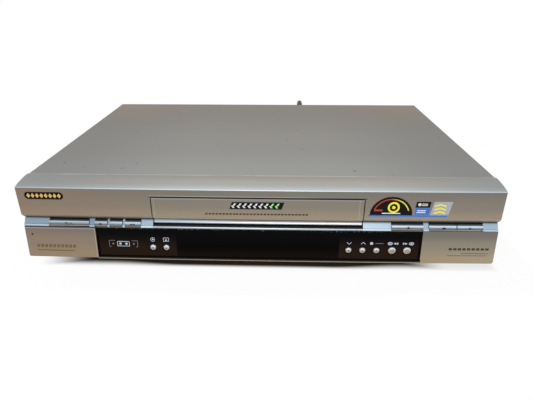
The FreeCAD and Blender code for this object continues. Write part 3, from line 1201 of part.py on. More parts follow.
def makeHolder():
    """The cassette holder: side plates, ledges and rear stops, a windowed top plate and four guide pins."""
    piece = Piece("cassette_holder")
    front, stop, lip = "frontEdge + holderFront", "frontEdge + holderStop", "frontEdge + holderLip"
    low, top = "holderFloor - holderSheet", "holderFloor + cassetteHeight + holderHead"
    rear = f"{stop} + 2"
    piece.pad("XY", top, f"{top} + holderSheet", rectangle("-holderOuter", front, "holderOuter", rear))
    piece.pocket("XY", f"{top} - 1", f"{top} + holderSheet + 1",
                 rectangle("-62", f"{front} + 9", "62", f"{rear} - 9"))
    for side in (-1, 1):
        wall = sorted((f"{side} * holderInner", f"{side} * holderOuter"), key=number)
        piece.pad("YZ", wall[0], wall[1], rectangle(front, low, rear, f"{top} + holderSheet"))
        ledge = sorted((f"{side} * (holderInner - holderLedge)", f"{side} * holderOuter"), key=number)
        piece.pad("XY", low, "holderFloor", rectangle(ledge[0], lip, ledge[1], rear))
        back = sorted((f"{side} * (holderInner - 2 * holderLedge)", f"{side} * holderOuter"), key=number)
        piece.pad("XZ", stop, f"{stop} + holderSheet",
                  rectangle(back[0], low, back[1], "holderFloor + holderPinRise"))
        reach = sorted((f"{side} * (holderOuter - holderSheet / 2)",
                        f"{side} * (frameInner + frameSheet + pinReach)"), key=number)
        piece.pad("YZ", reach[0], reach[1], *[circle(f"frontEdge + {place}", "holderPinZ", "holderPin")
                                              for place in ("holderPinFront", "holderPinRear")])
    keep("cassette_holder", piece.body)


def leaned(piece, across, along, up):
    """Stand a body made about its own upright line on the head drum's leaning axis."""
    body = piece.body
    body.Placement = FreeCAD.Placement(Vector(0, 0, 0), FreeCAD.Rotation(Vector(1, 0, 0), 1))
    body.setExpression("Placement.Rotation.Angle", bound("drumTilt"))
    for axis, words in zip("xyz", (across, along, up)):
        body.setExpression(f"Placement.Base.{axis}", bound(words))


def makeDrums():
    """The fixed drum with its shaft on a seat, and the turning drum above it, on one leaning axis."""
    shaft, seat = "3", "20"
    lift = "deckTop + drumFoot"
    lower = Piece("drum_body")
    lower.turn("XZ", ("0", "0", "0"), [
        ("0", "0"), ("drumRadius", "0"), ("drumRadius", "drumLower"), (shaft, "drumLower"),
        (shaft, "drumLower + drumGap + drumUpper + 5"), ("0", "drumLower + drumGap + drumUpper + 5")])
    leaned(lower, "0", "drumY", lift)
    foot = Piece("drum_foot")
    foot.pad("XY", "deckTop", f"{lift} + 4", circle("0", "drumY", seat))
    keep("lower_drum", joined("lower_drum", lower.body, foot.body))
    upper = Piece("upper_drum")
    start, end = "drumLower + drumGap", "drumLower + drumGap + drumUpper"
    bore = f"{shaft} + runningGap"
    upper.turn("XZ", ("0", "0", "0"), [
        (bore, start), ("drumRadius", start), ("drumRadius", f"{end} - 0.5"), ("drumRadius - 0.5", end),
        ("22", end), ("22", f"{end} + 3"), (bore, f"{end} + 3")])
    leaned(upper, "0", "drumY", lift)
    keep("upper_drum", upper.body)


def makeReelTables():
    """Flanged reel tables with three driving ribs, turning on the deck's pegs."""
    for label, side in (("supply_reel_table", -1), ("takeup_reel_table", 1)):
        piece = Piece(label)
        place = f"{side} * reelSpacing / 2"
        base = "deckTop + 0.6"
        bore = "pivotRadius + runningGap"
        piece.turn("XZ", (place, "reelY", "0"), [
            (bore, base), ("reelFlange", base), ("reelFlange", f"{base} + 1.6"), ("reelHub", f"{base} + 1.6"),
            ("reelHub", f"{base} + 3"), ("5", f"{base} + 3"), ("4", f"{base} + 14"), ("0", f"{base} + 14"),
            ("0", f"{base} + 11"), (bore, f"{base} + 11")])
        ribs = []
        for step in range(3):
            middle = polar((place, "reelY"), "5.5", f"{step} * 120")
            ribs.append(around(f"({middle[0]})", f"({middle[1]})", "0.8"))
        piece.pad("XY", f"{base} + 2.5", f"{base} + 12", *ribs)
        keep(label, piece.body)


def makeCapstan():
    """Ground shaft with its rotor under the deck, and the bearing that it turns in."""
    piece = Piece("capstan")
    rotor = "trayTop + 1"
    piece.turn("XZ", ("capstanPlace", "capstanY", "0"), [
        ("0", rotor), ("rotorRadius", rotor), ("rotorRadius", f"{rotor} + rotorHeight"),
        ("capstanRadius", f"{rotor} + rotorHeight"),
        ("capstanRadius", "deckTop + capstanRise - 0.5"), ("capstanRadius - 0.5", "deckTop + capstanRise"),
        ("0", "deckTop + capstanRise")])
    keep("capstan", piece.body)
    sleeve = Piece("capstan_bearing")
    bore = "capstanRadius + runningGap"
    sleeve.turn("XZ", ("capstanPlace", "capstanY", "0"), [
        (bore, "deckUnder - 0.5"), ("bearingRadius", "deckUnder - 0.5"), ("bearingRadius", "deckTop"),
        ("bearingRadius + 3", "deckTop"),
        ("bearingRadius + 3", "deckTop + 1.5"), ("bearingRadius", "deckTop + 1.5"),
        ("bearingRadius", "deckTop + bearingHeight"),
        (bore, "deckTop + bearingHeight")])
    keep("capstan_bearing", sleeve.body)


def makePinch():
    """The pinch arm on its peg, and the rubber roller on the arm's pin."""
    arm = Piece("pinch_arm")
    low, high = "deckTop + 2.5", "deckTop + 4.5"
    end = polar(("pinchPlace", "pinchY"), "pinchArm", "pinchAngle")
    middle = [f"({words})" for words in end]
    half = "2.6"
    bar = []
    for centre, turn in ((("pinchPlace", "pinchY"), -90), (("pinchPlace", "pinchY"), 90), (middle, 90),
                         (middle, -90)):
        bar.append(polar(centre, half, f"pinchAngle + {turn}"))
    arm.pad("XY", low, high, circle("pinchPlace", "pinchY", "4.4"))
    arm.pad("XY", low, high, circle(*middle, "3.3"))
    arm.pad("XY", low, high, [bar[0], bar[3], bar[2], bar[1]])
    arm.pad("XY", low, "deckTop + 23", circle(*middle, "1.5"))
    arm.pocket("XY", f"{low} - 1", f"{high} + 1", circle("pinchPlace", "pinchY", "pivotRadius + runningGap"))
    keep("pinch_arm", arm.body)
    roller = Piece("pinch_roller")
    base = f"{high} + 0.8"
    roller.pad("XY", base, "deckTop + 21.5", circle(*middle, "pinchRoller"))
    roller.pocket("XY", f"{base} - 1", "deckTop + 22", circle(*middle, "1.5 + runningGap"))
    keep("pinch_roller", roller.body)


def makeGuides():
    """Carriages that slide along the deck's slots and carry the tape guides round the drum."""
    for hand, side in (("left", -1), ("right", 1)):
        label = f"guide_carriage_{hand}"
        piece = Piece(label)
        across, along = [f"({words})" for words in guideAt(side, "0")]
        piece.pad("XY", "deckTop + fitGap", "deckTop + 3.5", around(across, along, "6", "7"))
        piece.pad("XY", "deckTop + 1", "deckTop + guideHeight", circle(across, f"{along} + 2", "guidePost"))
        piece.pad("XY", "deckTop + 1", "deckTop + guideHeight - 3", circle(across, f"{along} - 4", "1.2"))
        piece.pad("XY", "deckUnder - 1", "deckTop + 1", circle(across, along, "guideSlot - 0.4"))
        piece.pad("XY", "deckUnder - 2.1", "deckUnder - fitGap", circle(across, along, "guideSlot + 2"))
        keep(label, piece.body)


def makeGears():
    """The cam gear on its peg and the motor's pinion beside it, a tooth of the one in a gap of the other."""
    low = "deckTop + 0.8"
    pinionPlace = "(camPlace + gearModule * (camTeeth + pinionTeeth) / 2 + gearSlack)"
    gears = (("cam_gear", "camPlace", "camTeeth", "0", "pivotRadius + runningGap"),
             ("motor_pinion", pinionPlace, "pinionTeeth", "180 / pinionTeeth", "0"))
    for label, place, teeth, phase, bore in gears:
        piece = Piece(label)
        pitch = f"gearModule * {teeth} / 2"
        root, tip = f"({pitch} - 1.2 * gearModule)", f"({pitch} + 0.9 * gearModule)"
        piece.pad("XY", low, f"{low} + gearHeight", circle("0", "0", f"{root} + 0.1 * gearModule"))
        wide, narrow = "0.9 * gearModule", "0.3 * gearModule"
        tooth = piece.pad("XY", low, f"{low} + gearHeight",
                          [(f"{root} - 0.4 * gearModule", f"-{wide}"), (tip, f"-{narrow}"),
                                                             (tip, narrow),
                                                             (f"{root} - 0.4 * gearModule", wide)])
        ring = piece.body.newObject("PartDesign::PolarPattern", "Teeth")
        ring.Originals = [tooth]
        ring.Axis = (next(part for part in piece.body.Origin.OriginFeatures if part.Role == "Z_Axis"), [""])
        ring.Angle = 360
        ring.setExpression("Occurrences", bound(teeth))
        piece.body.Tip = ring
        if bore == "0":
            piece.pad("XY", low, f"{low} + gearHeight + 16", circle("0", "0", "1"))
        else:
            piece.pocket("XY", f"{low} - 1", f"{low} + gearHeight + 1", circle("0", "0", bore))
            windows = [circle(*polar(("0", "0"), "10.5", f"{step} * 120 + 60"), "3") for step in range(3)]
            piece.pocket("XY", f"{low} - 1", f"{low} + gearHeight + 1", *windows)
        piece.body.Placement = FreeCAD.Placement(Vector(0, 0, 0), FreeCAD.Rotation(Vector(0, 0, 1), 1))
        piece.body.setExpression("Placement.Rotation.Angle", bound(phase))
        piece.body.setExpression("Placement.Base.x", bound(place))
        piece.body.setExpression("Placement.Base.y", bound("camY"))
        keep(label, piece.body)
    motor = Piece("loading_motor")
    plate = f"{low} + gearHeight + 2"
    motor.pad("XY", plate, f"{plate} + 1.5", around(pinionPlace, "camY", "15", "13"))
    motor.pad("XY", plate, f"{plate} + 25", circle(pinionPlace, "camY", "12"))
    posts = [circle(f"{pinionPlace} + 11", f"camY + {step} * 10", "2") for step in (-1, 1)]
    motor.pad("XY", "deckTop", f"{plate} + 1", *posts)
    motor.pocket("XY", f"{plate} - 1", f"{plate} + 15", circle(pinionPlace, "camY", "1 + runningGap"))
    keep("loading_motor", motor.body)


def makeHeads():
    """The erase head and the sound and control head beside the tape's path."""
    erase = Piece("erase_head")
    erase.pad("XY", "deckTop", "deckTop + 3", around("-60", "capstanY + 4", "6", "6"))
    erase.pad("XY", "deckTop + 2", "deckTop + 24", rounded("-64", "capstanY", "-56", "capstanY + 8", "2"))
    keep("erase_head", erase.body)
    sound = Piece("audio_control_head")
    sound.pad("XY", "deckTop", "deckTop + 3", around("55", "capstanY + 17", "5.5", "6"))
    sound.pad("XY", "deckTop + 2", "deckTop + 24", rounded("51", "capstanY + 13", "59", "capstanY + 21", "2.5"))
    keep("audio_control_head", sound.body)


def makeRelief():
    """Tapered strain relief, leaning up out of its flange on the rear panel."""
    piece = Piece("relief_flange")
    piece.pad("XZ", "panelFront - 1.5", "panelBack + 2", circle("cordPlace", "cordZ", "reliefNeck"))
    piece.pad("XZ", "panelBack", "panelBack + 2", circle("cordPlace", "cordZ", "reliefNeck + 2"))
    boot = Piece("relief_boot")
    boot.turn("XZ", ("0", "0", "0"),
              [("0", "0"), ("reliefNeck - 0.3", "0"), ("cordRadius + 1", "reliefLength"),
               ("0", "reliefLength")])
    boot.body.Placement = FreeCAD.Placement(Vector(0, 0, 0), FreeCAD.Rotation(Vector(1, 0, 0), -1))
    boot.body.setExpression("Placement.Rotation.Angle", bound("reliefTilt - 90"))
    for axis, words in zip("xyz", ("cordPlace", "panelBack", "cordZ")):
        boot.body.setExpression(f"Placement.Base.{axis}", bound(words))
    keep("strain_relief", joined("strain_relief", piece.body, boot.body))


# The lead's way to the floor behind the case: across, behind the rear face, above the floor
leadPoints = [(51.2, 96, 50), (26, 112.2, 3.5), (-42, 112.2, 3.5)]


def roundedPath(points):
    """Straight runs joined by tangent arcs as large as the runs allow, and the length of it all."""
    edges, radii, begin, length = [], [], points[0], 0
    for before, point, after in zip(points, points[1:], points[2:]):
        inward, outward = (before - point), (after - point)
        reach = 0.45 * min(inward.Length, outward.Length)
        halfTurn = (math.pi - inward.getAngle(outward)) / 2
        radius = reach / math.tan(halfTurn)
        first = point + Vector(inward).normalize() * reach
        last = point + Vector(outward).normalize() * reach
        aside = (Vector(inward).normalize() + Vector(outward).normalize()).normalize()
        middle = point + aside * (radius / math.cos(halfTurn) - radius)
        edges += [Part.LineSegment(begin, first).toShape(), Part.Arc(first, middle, last).toShape()]
        radii.append(radius)
        begin = last
    edges.append(Part.LineSegment(begin, points[-1]).toShape())
    return edges, radii


def tube(label, edges, radius):
    """A round bar along a path, with its volume set against its section times its length."""
    start = edges[0].Vertexes[0].Point
    ahead = edges[0].tangentAt(edges[0].FirstParameter)
    section = Part.Wire(Part.Circle(start, ahead, radius).toShape())
    path = Part.Wire(edges)
    solid = path.makePipeShell([section], True, False)
    feature = doc.addObject("Part::Feature", label)
    feature.Shape = solid
    length = sum(edge.Length for edge in edges)
    share = solid.Volume / (math.pi * radius ** 2 * length)
    print(label, "length", round(length), "volume over section times length", round(share, 4))
    keep(label, feature)
    return length


def turnPoint(turns):
    """Place and direction on the coil's line after some turns: in on the floor, a climb, and out on top."""
    radius, pitch, layer = number("coilRadius"), number("coilPitch"), number("coilTurns")
    inner = radius - pitch * layer
    climb = turns - layer
    if climb < 0:
        away, slope, height, rise = radius - pitch * turns, -pitch, 0, 0
    elif climb < 0.5:
        away, slope = inner - pitch * climb + 2 * pitch * climb ** 2, -pitch + 4 * pitch * climb
        height = pitch * (1 - math.cos(2 * math.pi * climb)) / 2
        rise = pitch * math.pi * math.sin(2 * math.pi * climb)
    else:
        away, slope, height, rise = inner + pitch * (climb - 0.5), pitch, pitch, 0
    angle = math.pi / 2 - math.atan(pitch / (2 * math.pi * radius)) + 2 * math.pi * turns
    outward = Vector(math.cos(angle), math.sin(angle), 0)
    onward = Vector(-math.sin(angle), math.cos(angle), 0)
    place = outward * away + Vector(0, 0, number("cordRadius") + height)
    heading = outward * slope + onward * (2 * math.pi * away) + Vector(0, 0, rise)
    return place, heading.normalize()


def biarc(start, startWay, end, endWay):
    """Two arcs that leave the start and reach the end along the given ways."""
    chord, both = end - start, startWay + endWay
    spread = 2 * (1 - startWay.dot(endWay))
    lean = chord.dot(both)
    reach = (-lean + math.sqrt(lean ** 2 + spread * chord.dot(chord))) / spread
    joint = (start + end + (startWay - endWay) * reach) / 2
    arcs = []
    for first, corner, last in ((start, start + startWay * reach, joint), (joint, end - endWay * reach, end)):
        chordMiddle = (first + last) / 2
        half = (last - first).Length / 2
        height = (corner - chordMiddle).Length
        bulge = half * math.tan(math.atan2(height, half) / 2)
        arcs.append(Part.Arc(first, chordMiddle + (corner - chordMiddle).normalize() * bulge, last).toShape())
    return arcs


def makeLead():
    """The mains lead down to the floor, its coil behind the case, and its plug beside the coil."""
    radius = number("cordRadius")
    tilt = math.radians(number("reliefTilt"))
    lean = Vector(0, math.cos(tilt), math.sin(tilt))
    outlet = Vector(number("cordPlace"), number("panelBack"), number("cordZ")) + lean * number("reliefLength")
    route = [outlet, outlet + lean * number("leadRise")]
    route += [Vector(across, number("rearFace") + behind, up) for across, behind, up in leadPoints]
    edges, radii = roundedPath(route)
    print("lead radii", [round(each, 1) for each in radii])
    total = tube("mains_lead", edges, radius)

    first, way = turnPoint(0)
    entry = route[-1] + way * number("coilTail")
    centre = entry - first
    edges = [Part.LineSegment(route[-1], entry).toShape()]
    turns = 2 * number("coilTurns") + 0.5
    steps = round(4 * turns)
    for step in range(steps):
        start, startWay = turnPoint(turns * step / steps)
        end, endWay = turnPoint(turns * (step + 1) / steps)
        edges += biarc(start + centre, startWay, end + centre, endWay)
    last, way = turnPoint(turns)
    finish = last + centre + way * number("coilEnd")
    edges.append(Part.LineSegment(last + centre, finish).toShape())
    total += tube("mains_lead_coil", edges, radius)
    print("cord length", round(total), "least gap in the coil", round(leastGap(edges, 2 * radius), 2))

    plug = nodes["mains_plug"]
    plug.Placement = FreeCAD.Placement(finish, FreeCAD.Rotation(Vector(1, 0, 0), way))


def leastGap(edges, diameter):
    """The least clear distance between stretches of a tube that aren't beside each other along it."""
    points = []
    for edge in edges:
        points += edge.discretize(Distance=2)[1:]
    apart = int(diameter * 1.5)
    least = min((first - second).Length for place, first in enumerate(points)
                for second in points[place + apart:] if abs(first.x - second.x) < 2 * diameter)
    return least - diameter


def makePlug():
    """Moulded two-pin mains plug, made along its own X line from where the lead enters."""
    piece = Piece("mains_plug")
    collar = [("0", "0"), ("plugCollar", "0"), ("plugCollar", "cordRadius + 3.5"), ("0", "cordRadius + 1")]
    piece.turned("Revolution", "XZ", ("0", "0", "0"), "H_Axis", [collar])
    high = "(cordRadius + coilPitch)"
    shoulder, face = "plugCollar + 6", "plugCollar + plugBody"
    piece.pad("YZ", "plugCollar - 1", shoulder,
              rounded("-plugWidth * 0.34", f"-{high} * 0.75", "plugWidth * 0.34", f"{high} * 0.75", "6"))
    piece.pad("YZ", f"{shoulder} - 1", face, rounded("-plugWidth / 2", f"-{high}", "plugWidth / 2", high, "9"))
    pins = [circle(f"{side} * pinSpacing / 2", "0", "pinRadius") for side in (-1, 1)]
    piece.pad("YZ", f"{face} - 1", f"{face} + pinLength", *pins)
    keep("mains_plug", piece.body)


makeCover()
makeTray()
makeFeet()
makeScrews()
makeFront()
makeTrim()
makeStripButtons()
makeRoundKeys()
makeWindow()
makeDoor()
makeFlap()
makeFrontSockets()
makeFrontBoard()
makeDisplay()
makeMainBoard()
makePowerBoard()
makeTransformer()
makeHeatSink()
makeTuner()
makeRearSockets()
makeRearPanel()
makeDeck()
makeFrames()
makeRack()
makeHolder()
makeDrums()
makeReelTables()
makeCapstan()
makePinch()
makeGuides()
makeGears()
makeHeads()
makeRelief()
makePlug()
makeLead()

doc.recompute()
faults = [f"{thing.Label}: {thing.State}" for thing in doc.Objects if {"Invalid", "Error"} & set(thing.State)]
for label, thing in nodes.items():
    if thing.Shape.isNull() or not thing.Shape.isValid():
        faults.append(f"{label}: shape not valid")
for thing in doc.Objects:
    if thing.TypeId in ("PartDesign::Pocket", "PartDesign::Groove") and thing.BaseFeature is not None:
        if thing.Shape.Volume > thing.BaseFeature.Shape.Volume - 0.001:
            faults.append(f"{thing.getParentGeoFeatureGroup().Label} {thing.Name}: cuts nothing")
if faults:
    raise SystemExit("\n".join(faults))

os.makedirs("parts", exist_ok=True)
for label, thing in nodes.items():
    thing.Shape.exportStep(f"parts/{label}.step")
    print(label, len(thing.Shape.Solids), round(thing.Shape.Volume), thing.Shape.BoundBox)
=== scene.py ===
import json
import math

import bpy
from mathutils import Matrix, Vector


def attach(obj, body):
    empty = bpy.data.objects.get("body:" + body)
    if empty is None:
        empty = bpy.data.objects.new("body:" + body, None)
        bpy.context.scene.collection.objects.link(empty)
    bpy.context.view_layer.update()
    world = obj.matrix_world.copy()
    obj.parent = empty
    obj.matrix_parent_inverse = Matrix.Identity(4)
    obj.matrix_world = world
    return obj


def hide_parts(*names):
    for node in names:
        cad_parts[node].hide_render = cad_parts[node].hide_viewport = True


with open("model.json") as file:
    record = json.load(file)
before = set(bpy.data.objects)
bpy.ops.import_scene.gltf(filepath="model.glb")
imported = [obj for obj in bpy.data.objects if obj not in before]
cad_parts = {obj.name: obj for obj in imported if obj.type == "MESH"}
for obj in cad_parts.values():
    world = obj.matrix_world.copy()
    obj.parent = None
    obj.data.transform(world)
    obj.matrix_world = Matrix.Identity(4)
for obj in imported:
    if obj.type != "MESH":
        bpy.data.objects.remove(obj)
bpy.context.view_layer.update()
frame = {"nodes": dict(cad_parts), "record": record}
nodes = frame["nodes"]
print("frame loaded,", len(nodes), "nodes")

# Object-mode and edit-mode helpers


def chosen(*pieces):
    # only these are selected, the first is active
    bpy.ops.object.select_all(action="DESELECT")
    for piece in pieces:
        piece.select_set(True)
    bpy.context.view_layer.objects.active = pieces[0]


def named(name):
    piece = bpy.context.active_object
    piece.name = name
    piece.data.name = name
    return piece


def settled(piece):
    # the place goes into the mesh, so that the object is at the origin
    chosen(piece)
    bpy.ops.object.transform_apply(location=True, rotation=True, scale=True)
    return piece


def joined(name, pieces):
    chosen(*pieces)
    if len(pieces) > 1:
        bpy.ops.object.join()
    return settled(named(name))


def editing(piece, test=None):
    # into edit mode, with the vertices chosen that pass the test, or all of them
    chosen(piece)
    bpy.ops.object.mode_set(mode="EDIT")
    bpy.ops.mesh.select_mode(type="VERT")
    bpy.ops.mesh.select_all(action="SELECT" if test is None else "DESELECT")
    if test is not None:
        bpy.ops.object.mode_set(mode="OBJECT")
        for vertex in piece.data.vertices:
            vertex.select = test(vertex.co)
        bpy.ops.object.mode_set(mode="EDIT")


def edited(piece):
    bpy.ops.object.mode_set(mode="OBJECT")
    return piece


def modified(piece, kind, **settings):
    chosen(piece)
    modifier = piece.modifiers.new(kind.lower(), kind)
    for key, value in settings.items():
        setattr(modifier, key, value)
    bpy.ops.object.modifier_apply(modifier=modifier.name)
    return piece


def painted(piece, material):
    piece.data.materials.clear()
    piece.data.materials.append(material)
    return piece


# Shader helpers: a Term is a socket in a Python sum, and a Finish builds one material


class Term:
    def __init__(self, finish, socket):
        self.finish = finish
        self.socket = socket

    def __add__(self, other):
        return self.finish.sum("ADD", self, other)

    def __radd__(self, other):
        return self.finish.sum("ADD", other, self)

    def __sub__(self, other):
        return self.finish.sum("SUBTRACT", self, other)

    def __rsub__(self, other):
        return self.finish.sum("SUBTRACT", other, self)

    def __mul__(self, other):
        return self.finish.sum("MULTIPLY", self, other)

    def __rmul__(self, other):
        return self.finish.sum("MULTIPLY", other, self)

    def __truediv__(self, other):
        return self.finish.sum("DIVIDE", self, other)

    def __abs__(self):
        return self.finish.sum("ABSOLUTE", self, 0)


class Finish:
    def __init__(self, name):
        self.material = bpy.data.materials.new(name)
        self.material.use_nodes = True
        self.tree = self.material.node_tree
        self.tree.nodes.clear()
        self.place = self.add("TexCoord", {}, {}, "Object")
        self.axes = self.tree.nodes.new("ShaderNodeSeparateXYZ")
        self.tree.links.new(self.place.socket, self.axes.inputs[0])
        self.x, self.y, self.z = (Term(self, out) for out in self.axes.outputs)

    def add(self, kind, settings, sockets, out=0):
        node = self.tree.nodes.new("ShaderNode" + kind)
        for key, value in settings.items():
            setattr(node, key, value)
        for key, value in sockets.items():
            self.feed(node.inputs[key], value)
        return Term(self, node.outputs[out])

    def feed(self, socket, value):
        if isinstance(value, Term):
            self.tree.links.new(value.socket, socket)
        elif socket.type == "RGBA":
            socket.default_value = (*value, 1)
        else:
            socket.default_value = value

    def sum(self, operation, first, second):
        return self.add("Math", {"operation": operation}, {0: first, 1: second})

    def most(self, first, *others):
        for other in others:
            first = self.sum("MAXIMUM", first, other)
        return first

    def mix(self, factor, first, second):
        return self.add("Mix", {"data_type": "RGBA"}, {0: factor, 6: first, 7: second}, 2)

    def rise(self, value, low, high):
        # 0 below low, 1 above high, smooth between
        settings = {"interpolation_type": "SMOOTHSTEP"}
        return self.add("MapRange", settings, {0: value, 1: low, 2: high, 3: 0.0, 4: 1.0})

    def fall(self, value, low, high):
        return 1 - self.rise(value, low, high)

    def band(self, value, low, high, soft):
        return self.rise(value, low - soft, low + soft) * self.fall(value, high - soft, high + soft)

    def away(self, x, z):
        # distance from a point on a face that is seen from the front
        across, up = self.x - x, self.z - z
        return self.sum("SQRT", across * across + up * up, 0)

    def steps(self, value, stops):
        # one colour passing into the next at each height, from the lowest up
        tone = stops[0][1]
        for (below, _), (above, colour) in zip(stops, stops[1:]):
            tone = self.mix(self.rise(value, below, above), tone, colour)
        return tone

    def noise(self, scale, detail=2.0, stretch=None):
        place = self.place
        if stretch:
            place = self.add("Mapping", {}, {"Vector": self.place, "Scale": stretch})
        return self.add("TexNoise", {}, {"Vector": place, "Scale": scale, "Detail": detail})

    def bump(self, height, strength, distance):
        return self.add("Bump", {}, {"Strength": strength, "Distance": distance, "Height": height})

    def satin(self, tone, grain, metal, rough, spread, shine, dents=None, **coat):
        # fine-grained paint, lacquer or metal; dents are the strength and depth of its bumps
        sockets = {"Base Color": tone, "Metallic": metal, "Roughness": rough + grain * spread,
                   "Specular IOR Level": shine}
        if dents:
            sockets["Normal"] = self.bump(grain, *dents)
        for key, value in coat.items():
            sockets["Coat " + key] = value
        return self.surface(sockets)

    def surface(self, sockets):
        return self.show(self.add("BsdfPrincipled", {}, sockets))

    def show(self, shader):
        output = self.tree.nodes.new("ShaderNodeOutputMaterial")
        self.tree.links.new(shader.socket, output.inputs[0])
        return self.material


# Camera, floor and light

photoView = {
    "place": (0.01923, -0.46441, 0.23569),
    "turn": 1.918,  # to the left, degrees
    "tip": 62.80,  # up from straight down
    "roll": -0.228,
    "lens": 28.0,
    "sensor": 36.0,
}


def addCamera():
    bpy.ops.object.camera_add()
    view = named("photoCamera")
    turn = Matrix.Rotation(math.radians(photoView["turn"]), 4, "Z")
    tip = Matrix.Rotation(math.radians(photoView["tip"]), 4, "X")
    roll = Matrix.Rotation(math.radians(photoView["roll"]), 4, "Z")
    view.matrix_world = Matrix.Translation(photoView["place"]) @ turn @ tip @ roll
    view.data.lens = photoView["lens"]
    view.data.sensor_width = photoView["sensor"]
    view.data.clip_start = 0.01
    bpy.context.scene.camera = view


floorPaper = {
    "size": 12.0,
    "colour": (0.90, 0.90, 0.90),
    "grain": (0.80, 0.80, 0.80),
    # painted shadow: the paper is darker under the recorder
    "under": (0.050, 0.034, 0.027),
    "underEnds": (0.002, 0.012),
    "front": -0.1413,
    "frontAside": 0.0062,  # the shadow ends this much nearer toward the two ends
    "leftLess": 0.0011,  # and this much less so at the left end
    "aside": (0.070, 0.140),
    "side": 0.2130,
    "rear": 0.1390,
    "fade": 0.006,
    "fadeAside": 0.007,
    "leftWhite": (-0.2150, -0.1600),
    "rightWhite": (0.1350, 0.1800),
    "rightShare": 0.85,
    "allWhite": (0.008, 0.050),
    "kept": 0.93,  # how much of the white hides the paper near the recorder; the rest is its shadow
    "keptLeft": 0.06,
}


def addFloor():
    # paper under the recorder, darkened beneath it as a painted shadow, and white round it for the camera
    bpy.ops.mesh.primitive_plane_add(size=floorPaper["size"])
    floor = named("floor")
    finish = Finish("floorPaper")
    ends = finish.rise(abs(finish.x), *floorPaper["aside"])
    leftward = finish.fall(finish.x, -0.100, 0.0)
    nearer = floorPaper["frontAside"] - leftward * floorPaper["leftLess"]
    ahead = floorPaper["front"] + ends * nearer - finish.y
    aside = abs(finish.x) - floorPaper["side"]
    behind = finish.y - floorPaper["rear"]
    out = finish.most(ahead, aside, behind)
    grain = finish.noise(30.0)
    # painted shadow: the paper darkens under the recorder
    tone = finish.mix(finish.rise(out, *floorPaper["underEnds"]), floorPaper["under"], floorPaper["colour"])
    tone = finish.mix(grain * 0.04, tone, floorPaper["grain"])
    paper = finish.add("BsdfPrincipled", {}, {"Base Color": tone, "Roughness": 0.95, "Specular IOR Level": 0.0})
    white = finish.add("Emission", {}, {"Color": (1, 1, 1), "Strength": 1.0})
    rays = ("Is Camera Ray", "Is Glossy Ray", "Is Transmission Ray")
    seen, glossy, through = (finish.add("LightPath", {}, {}, ray) for ray in rays)
    left = finish.fall(finish.x, *floorPaper["leftWhite"])
    right = finish.rise(finish.x, *floorPaper["rightWhite"]) * floorPaper["rightShare"]
    fade = finish.rise(out / (ends * floorPaper["fadeAside"] + floorPaper["fade"]), 0.0, 1.0)
    near = finish.most(left, right, fade) * seen
    far = finish.rise(out, *floorPaper["allWhite"]) * finish.most(seen, glossy, through)
    share = finish.most(near * (left * floorPaper["keptLeft"] + floorPaper["kept"]), far)
    painted(floor, finish.show(finish.add("MixShader", {}, {0: share, 1: paper, 2: white})))


studio = {
    "sky": 0.50,
    "skyColour": (0.97, 0.985, 1.0),
    "aim": (0, 0, 0.04),
    "lamps": {
        "keyLight": {"place": (-0.25, -0.75, 1.25), "size": 1.2, "power": 8.0, "colour": (1.0, 0.99, 0.97)},
        "fillLight": {"place": (0.95, -0.55, 0.6), "size": 0.9, "power": 1.5, "colour": (0.96, 0.98, 1.0)},
        "frontLight": {"place": (0.05, -1.10, 0.42), "size": 0.6, "power": 3.6, "colour": (1.0, 1.0, 1.0)},
    },
}


def addLamp(name, place, size, power, colour):
    bpy.ops.object.light_add(type="AREA", location=place)
    lamp = named(name)
    lamp.data.size = size
    lamp.data.energy = power
    lamp.data.color = colour
    way = Vector(studio["aim"]) - Vector(place)
    lamp.rotation_euler = way.to_track_quat("-Z", "Y").to_euler()


def addLight():
    # a soft sky for the light, and plain white where the camera or a reflection sees it
    world = bpy.context.scene.world or bpy.data.worlds.new("studioSky")
    bpy.context.scene.world = world
    world.use_nodes = True
    tree = world.node_tree
    tree.nodes.clear()
    path, choice, output = (tree.nodes.new("ShaderNode" + kind) for kind in ("LightPath", "MixShader", "OutputWorld"))
    seen = path.outputs["Is Camera Ray"]
    for ray in ("Is Glossy Ray", "Is Transmission Ray"):
        either = tree.nodes.new("ShaderNodeMath")
        either.operation = "MAXIMUM"
        tree.links.new(seen, either.inputs[0])
        tree.links.new(path.outputs[ray], either.inputs[1])
        seen = either.outputs[0]
    tree.links.new(seen, choice.inputs[0])
    for place, colour, strength in ((1, studio["skyColour"], studio["sky"]), (2, (1, 1, 1), 1.0)):
        sky = tree.nodes.new("ShaderNodeBackground")
        sky.inputs["Color"].default_value = (*colour, 1)
        sky.inputs["Strength"].default_value = strength
        tree.links.new(sky.outputs[0], choice.inputs[place])
    tree.links.new(choice.outputs[0], output.inputs[0])
    for name, lamp in studio["lamps"].items():
        addLamp(name, **lamp)
    bpy.context.scene.view_settings.view_transform = "Standard"


# The front's faces, as heights and depths, so that a finish knows its place on them

front = {
    "faceY": -0.14164,
    "bow": 0.00166,
    "half": 0.215,
    "edgeZ": 0.07874,
    "browLean": 0.0701,
    "lowerY": -0.14444,
    "shelfZ": 0.0407,
    "chinLean": 0.16221,
    "trimY": -0.14006,
    "trimZ": 0.0474,
    "trimLean": 0.67,
}


def bowed(finish):
    across = finish.x / front["half"]
    return finish.y - across * across * front["bow"]


def browDepth(finish):
    return bowed(finish) - front["faceY"] + (front["edgeZ"] - finish.z) * front["browLean"]


def lowerDepth(finish):
    return bowed(finish) - front["lowerY"] + (front["shelfZ"] - finish.z) * front["chinLean"]


def trimDepth(finish):
    return bowed(finish) - front["trimY"] + (front["trimZ"] - finish.z) * front["trimLean"]


# Finishes of the recorder's outside

